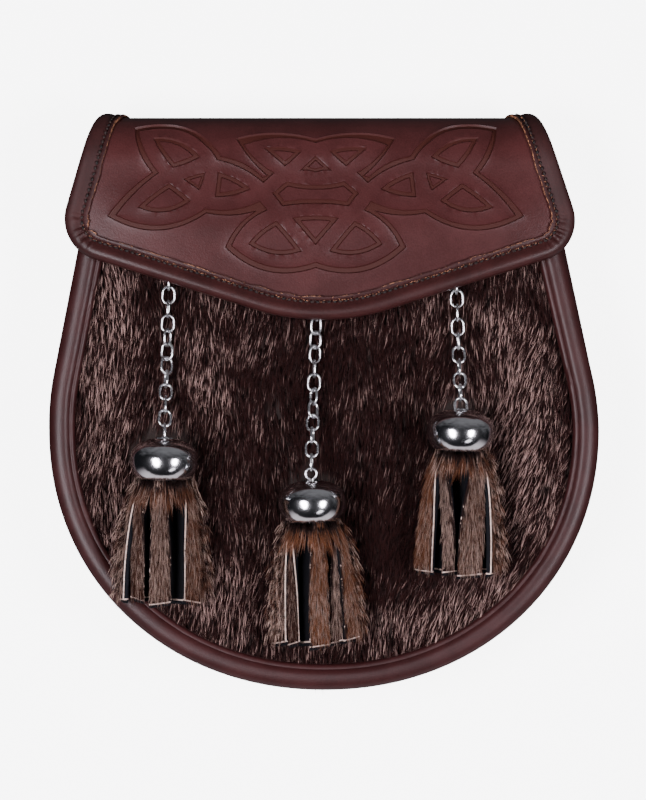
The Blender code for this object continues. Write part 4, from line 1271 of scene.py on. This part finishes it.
def eye_piece(side, material):
    """The wire loop in the cap's top, with its two legs down inside."""
    centre, across, up, out = cap_frame(side)
    roll = math.radians(EYE_ROLL[side])
    wide = across * math.cos(roll) - out * math.sin(roll)
    ring = (EYE_WIDTH - EYE_WIRE) / 2
    middle = centre + up * CAP_ABOVE * (1 + EYE_OUT[side])
    foot = middle - up * (ring + 3.4 * MM)
    apart = wide * EYE_WIRE * 0.6
    first = math.asin(EYE_WIRE * 0.6 / ring)
    arc = [middle + (wide * math.cos(a) + up * math.sin(a)) * ring
           for a in np.linspace(-0.5 * math.pi - first, first - 2.5 * math.pi, 28)]
    points = [foot - apart] + arc + [foot + apart]
    name = "cap_loop_" + side
    curve = bpy.data.curves.new(name, "CURVE")
    curve.dimensions = "3D"
    curve.bevel_depth = EYE_WIRE / 2
    curve.bevel_resolution = 3
    curve.use_fill_caps = True
    spline = curve.splines.new("POLY")
    spline.points.add(len(points) - 1)
    for point, place in zip(spline.points, points):
        point.co = (*place, 1.0)
    made = dress(baked(linked(name, curve), name), material)
    return seat(soften(made, 60), "chrome", "tassel_eye_" + side)


# Tassels

def strip_section(wide, shown):
    """Points round a strip: share across, height in the wall (0 flesh, 1 fur), cream and flesh marks."""
    line = 0.5 - CREAM_LINE / wide
    cream = 1 - CREAM_EDGE / STRIP_WALL
    face = [(x, 1.0, 0.0, 0.0) for x in np.linspace(-line + 0.01, line - 0.01, 7)]
    back = [(0.16, 0.0, 0.0, 1.0), (-0.16, 0.0, 0.0, 1.0)]
    edges = []
    for name in ("right", "left"):
        mark = SHOWN_LINE if name == shown else HIDDEN_LINE
        edges.append([(line, 1.0, mark, 0.0), (0.5, 1.0, mark, 0.0), (0.5, cream, mark, 0.0),
                      (0.5, cream - 0.02, 0.0, 1.0), (0.48, 0.0, 0.0, 1.0)])
    left = [(-x, h, c, f) for x, h, c, f in reversed(edges[1])]
    return np.array(face + edges[0] + back + left)


def strip_piece(side, row, material):
    """One strip of hide, its lower end cut at a slope, and the surface that its hair grows on."""
    centre, across, up, out = cap_frame(side)
    turn = math.radians(row.turn)
    around = math.atan2(row.across, row.deep)
    top = np.array((math.sin(around), math.cos(around))) * (CAP_MOUTH / 2 - 1.9 * MM)
    low = np.array((row.across, row.deep)) * MM
    length = TASSEL_LENGTH * row.long
    skew = 1.3 * MM * math.sin(row.across * 7)
    edge = CREAM_EDGE / STRIP_WALL
    end = 1 - CREAM_LINE / length
    stations = [(t, 0.0) for t in np.linspace(-0.04, end - 0.001, 24)]
    stations += [(end, 0.0), (1.0, 0.0), (1.0, edge), (1.0, edge + 0.02), (1.0, 0.97)]
    rings, cuts, flesh, flow = [], [], [], []
    for t, worn in stations:
        s = min(max(t, 0.0), 1.0)
        bell = 1 - (1 - s) ** 2.2
        spot = top * (1 - bell) + low * bell
        face = around * (1 - bell) + turn * bell if abs(around - turn) < math.pi else turn
        wide = row.wide * MM * (0.55 + 0.45 * min(1.0, s * 1.7) ** 0.8)
        section = strip_section(wide, row.line)
        share = section[:, :1]
        along = across * math.cos(face) - out * math.sin(face)
        normal = across * math.sin(face) + out * math.cos(face)
        middle = centre - up * (CAP_BELOW + length * t + 1.5 * MM * worn) + across * spot[0] + out * spot[1]
        rise = (np.minimum(section[:, 1:2], 1 - worn) - 0.5) * STRIP_WALL + 0.05 * wide * (1 - 4 * share ** 2)
        rings.append(middle + share * wide * along + rise * normal + skew * s ** 6 * share * up)
        bare = min(max((t - 0.05) / 0.10, 0.0), 1.0)
        shown = END_LINE if worn < edge + 0.01 else 0.0
        cuts.append(section[:, 2] * bare if t < end else np.full(len(section), shown))
        flesh.append(section[:, 3] if worn == 0.0 else np.ones(len(section)))
        flow.append(-up + np.linspace(-1.0, 1.0, 7)[:, None] * along * 0.06)
    rings = np.array(rings)
    body = sweep("strip", rings, material, {"flesh": flesh, "cut": cuts})
    rows = 22
    middle = rings[:rows, 3:4]
    face = middle + (rings[:rows, :7] - middle) * (1 - 2 * HAIR_INSET / (row.wide * MM))
    away = abs(row.turn)
    ground = hair_ground(face, grid_faces(rows, 7), np.array(flow[:rows]),
                         across * math.sin(turn) + out * math.cos(turn), -4,
                         1.0 if away < 100 else 0.12, row.pale, row.warm)
    return body, ground, 45 < away < 100


def collar_ground(side):
    """A ring just under the cap's mouth, where the hair runs out over the strips."""
    centre, across, up, out = cap_frame(side)
    angle = np.linspace(-2.0, 2.0, 17)[:, None]
    way = np.sin(angle) * across + np.cos(angle) * out
    face = [centre - up * (CAP_BELOW + down) + way * (CAP_MOUTH / 2 - inset)
            for down, inset in ((0.2 * MM, 1.0 * MM), (3.0 * MM, 0.2 * MM))]
    flow = np.array([-up + way * 0.25] * 2)
    return hair_ground(np.array(face), grid_faces(2, 17), flow, out, 8, 1.0, 0.3, COLLAR_WARM[side])


def tassel_piece(side, strip_finish, hair_finish, short, loose):
    """Eight strips of hide and the hair on them."""
    made = [strip_piece(side, Strip(*row), strip_finish) for row in STRIPS[side]]
    body = joined("tassel_strips_" + side, [row[0] for row in made])
    seat(soften(body, 35), "tassel_fur", "tassel_" + side)
    outer = joined("outer_" + side, [twin(row[1]) for row in made if row[2]])
    ground = joined("ground_" + side, [row[1] for row in made])
    share = 1.0
    seed = 20 + SIDES.index(side)
    coats = [grown("hair", surface, locks, density * share, seed, long, yaw, pitch, hair_finish)
             for surface, locks, density, long, yaw, pitch in (
                 (ground, short, 1800000, 1.0, 0.10, 0.08), (outer, loose, 420000, 1.0, 0.30, 0.26),
                 (collar_ground(side), short, 1200000, 1.5, 0.20, 0.12))]
    seat(soften(joined("tassel_hair_" + side, coats)), "tassel_fur")


# Camera, lights and floor

def camera():
    data = bpy.data.cameras.new("camera")
    made = linked("camera", data)
    made.location = (CAMERA_X, CAMERA_Y, CAMERA_HEIGHT)
    data.sensor_fit = "VERTICAL"
    data.sensor_height = SENSOR
    data.lens = SENSOR * (CAMERA_HEIGHT - BODY_DEPTH) / (PHOTO_HEIGHT * MM_PER_PIXEL * MM)
    data.clip_end = 20.0
    bpy.context.scene.camera = made


def soft_box(name, side, up, away, size, power):
    """An oval light panel: side and up are its angles from straight above, in degrees."""
    data = bpy.data.lights.new(name, "AREA")
    data.shape = "ELLIPSE"
    data.size, data.size_y = size
    data.energy = power
    data.color = (1.0, 0.962, 1.03)
    made = linked(name, data)
    way = Vector((math.tan(math.radians(side)), math.tan(math.radians(up)), 1.0)).normalized()
    made.location = way * away
    made.rotation_euler = (-way).to_track_quat("-Z", "Y").to_euler()


def studio():
    soft_box("box_left", -27, -8, 1.30, (0.76, 0.48), 22.0)
    soft_box("box_right", 36, -9, 1.35, (0.56, 0.42), 16.0)
    soft_box("card_small", 31, -41, 1.25, (0.46, 0.24), 0.8)
    world = bpy.data.worlds.new("studio")
    world.use_nodes = True
    net = Net(world.node_tree)
    way = net.coordinates("Generated")
    side, lean, height = [net.node("ShaderNodeSeparateXYZ", {0: way}, axis) for axis in range(3)]
    clutter = net.noise(way, 3.2, 3.0, 0.6, 0.8)
    light = net.smooth_step(lean + side * 0.30 + (clutter - 0.5) * 1.7, 0.1, 1.1)
    room = net.mix(light, (0.014, 0.015, 0.018, 1), (0.36, 0.36, 0.38, 1))
    front = net.smooth_step(0.30 - height + (clutter - 0.5) * 0.25, 0.0, 0.10)
    front = front * net.smooth_step(0.0 - lean, 0.30, 0.80)
    room = net.mix(front, room, (1.50, 1.38, 1.46, 1))
    net.fill(world.node_tree.nodes["Background"], {"Color": room, "Strength": 0.55})
    bpy.context.scene.world = world
    bpy.ops.mesh.primitive_plane_add(size=8.0, location=(0.0, 0.0, -0.0002))
    floor = bpy.context.object
    floor.name = "floor"
    floor.data.materials.append(finish("floor_paint", floor_paint))
    floor.visible_glossy = False
    floor.visible_diffuse = False


# The pouch

camera()
studio()
HAIR_TREE = hair_tree()
PATH_TREE = path_tree()

RIM_LEATHER = finish("rim_leather", leather, (0.026, 0.0066, 0.0066, 1), (0.044, 0.0118, 0.0118, 1),
                     0.43, 0.8, 0.30)
FLAP_LEATHER = finish("flap_face", leather, (0.045, 0.0122, 0.0118, 1), (0.066, 0.0190, 0.0186, 1),
                      0.38, 1.0, 0.17, True)
BACK_LEATHER = finish("back_leather", leather, (0.030, 0.0090, 0.0080, 1), (0.048, 0.0145, 0.0130, 1),
                      0.48, 1.2, 0.24)
BINDING_LEATHER = finish("binding_leather", binding_leather)
DARK_THREAD = finish("dark_thread", fibre, (0.006, 0.0025, 0.002, 1), (0.022, 0.008, 0.006, 1), 0.7)
TAN_FIBRE = finish("tan_fibre", fibre, (0.020, 0.006, 0.004, 1), (0.34, 0.145, 0.075, 1), 0.8)
FUR = finish("front_fur", fur, (0.0040, 0.0011, 0.0011, 1), (0.026, 0.0060, 0.0057, 1), (0.78, 0.50, 0.44, 1),
             (0.075, 0.021, 0.014, 1))
TASSEL_FUR = finish("tassel_hair", fur, (0.010, 0.0034, 0.0028, 1), (0.046, 0.0155, 0.0120, 1),
                    (0.72, 0.50, 0.41, 1), (0.29, 0.105, 0.046, 1))
CHROME = finish("chrome_plate", chrome, 0.10)
LINK_CHROME = finish("link_plate", chrome, 0.22)

for name, height, share, seed, node in (
        ("rim_back_roll", RIM_THICKNESS / 2, 0.0, 30, "back_rim"),
        ("rim_front_roll", BODY_DEPTH - RIM_THICKNESS / 2, 1.0, 31, "front_rim")):
    seat(rim_piece(name, height, share, seed, RIM_LEATHER), "leather", node)
seat(gusset_piece(RIM_LEATHER), "leather", "gusset")
for side in ("left", "right"):
    seat(belt_loop_piece(side, BACK_LEATHER), "leather", "belt_loop_" + side)
seat(flap_piece(FLAP_LEATHER), "flap_leather", "flap")
seat(binding_piece(BINDING_LEATHER), "leather", "flap_binding")
seat(hide_piece(finish("hide_skin", hide_skin)), "fur", "front_panel")
front_fur(FUR)

dress(frame["nodes"]["back_panel"], BACK_LEATHER)
for side in SIDES:
    dress(frame["nodes"]["staple_" + side], LINK_CHROME)
for node in sorted(frame["nodes"]):
    if node.startswith("chain_"):
        link_piece(node, LINK_CHROME)

SHORT_LOCKS = lock_collection("short_lock", 8, 8, hairs=6, length=6.0 * MM, spread=0.60 * MM, lift=0.85 * MM,
                              thickness=0.26 * MM, clump=0.1, straight=True)
LOOSE_LOCKS = lock_collection("loose_lock", 9, 8, hairs=5, length=5.6 * MM, spread=0.7 * MM, lift=2.5 * MM,
                              thickness=0.22 * MM, clump=0.1, straight=False)
STRIP_LEATHER = finish("strip_leather", strip_leather)
for side in SIDES:
    cap_piece(side, CHROME)
    eye_piece(side, LINK_CHROME)
    tassel_piece(side, STRIP_LEATHER, TASSEL_FUR, SHORT_LOCKS, LOOSE_LOCKS)
remove_collection(SHORT_LOCKS)
remove_collection(LOOSE_LOCKS)

EDGE = whole_edge(0.5 * MM)
stitch_row("binding_stitches", on_edge(EDGE, BINDING_STITCH, FLAP_SKIN - 0.42 * MM), STITCH_SPACING,
           DARK_THREAD, length=1.35 * MM, thickness=1.0 * MM, tilt=0.35)
LOWER = EDGE[EDGE[:, 4] > 0.3]
RIGHT = EDGE[(EDGE[:, 0] > 0) & (EDGE[:, 4] <= 0.3) & (EDGE[:, 1] > -FOLD_RUN / 2)]
for name, part, depth, spacing, seed in (
        ("frays_lower", LOWER, 6.5 * MM, 1.0 * MM, 2), ("frays_edge", LOWER, 7.9 * MM, 4.5 * MM, 3),
        ("frays_side", RIGHT, 6.4 * MM, 1.9 * MM, 4)):
    stitch_row(name, on_edge(part, depth, FLAP_SKIN - 0.20 * MM), spacing, TAN_FIBRE, length=0.9 * MM,
               thickness=0.28 * MM, tilt=1.0, loose=0.34 * MM, seed=seed)
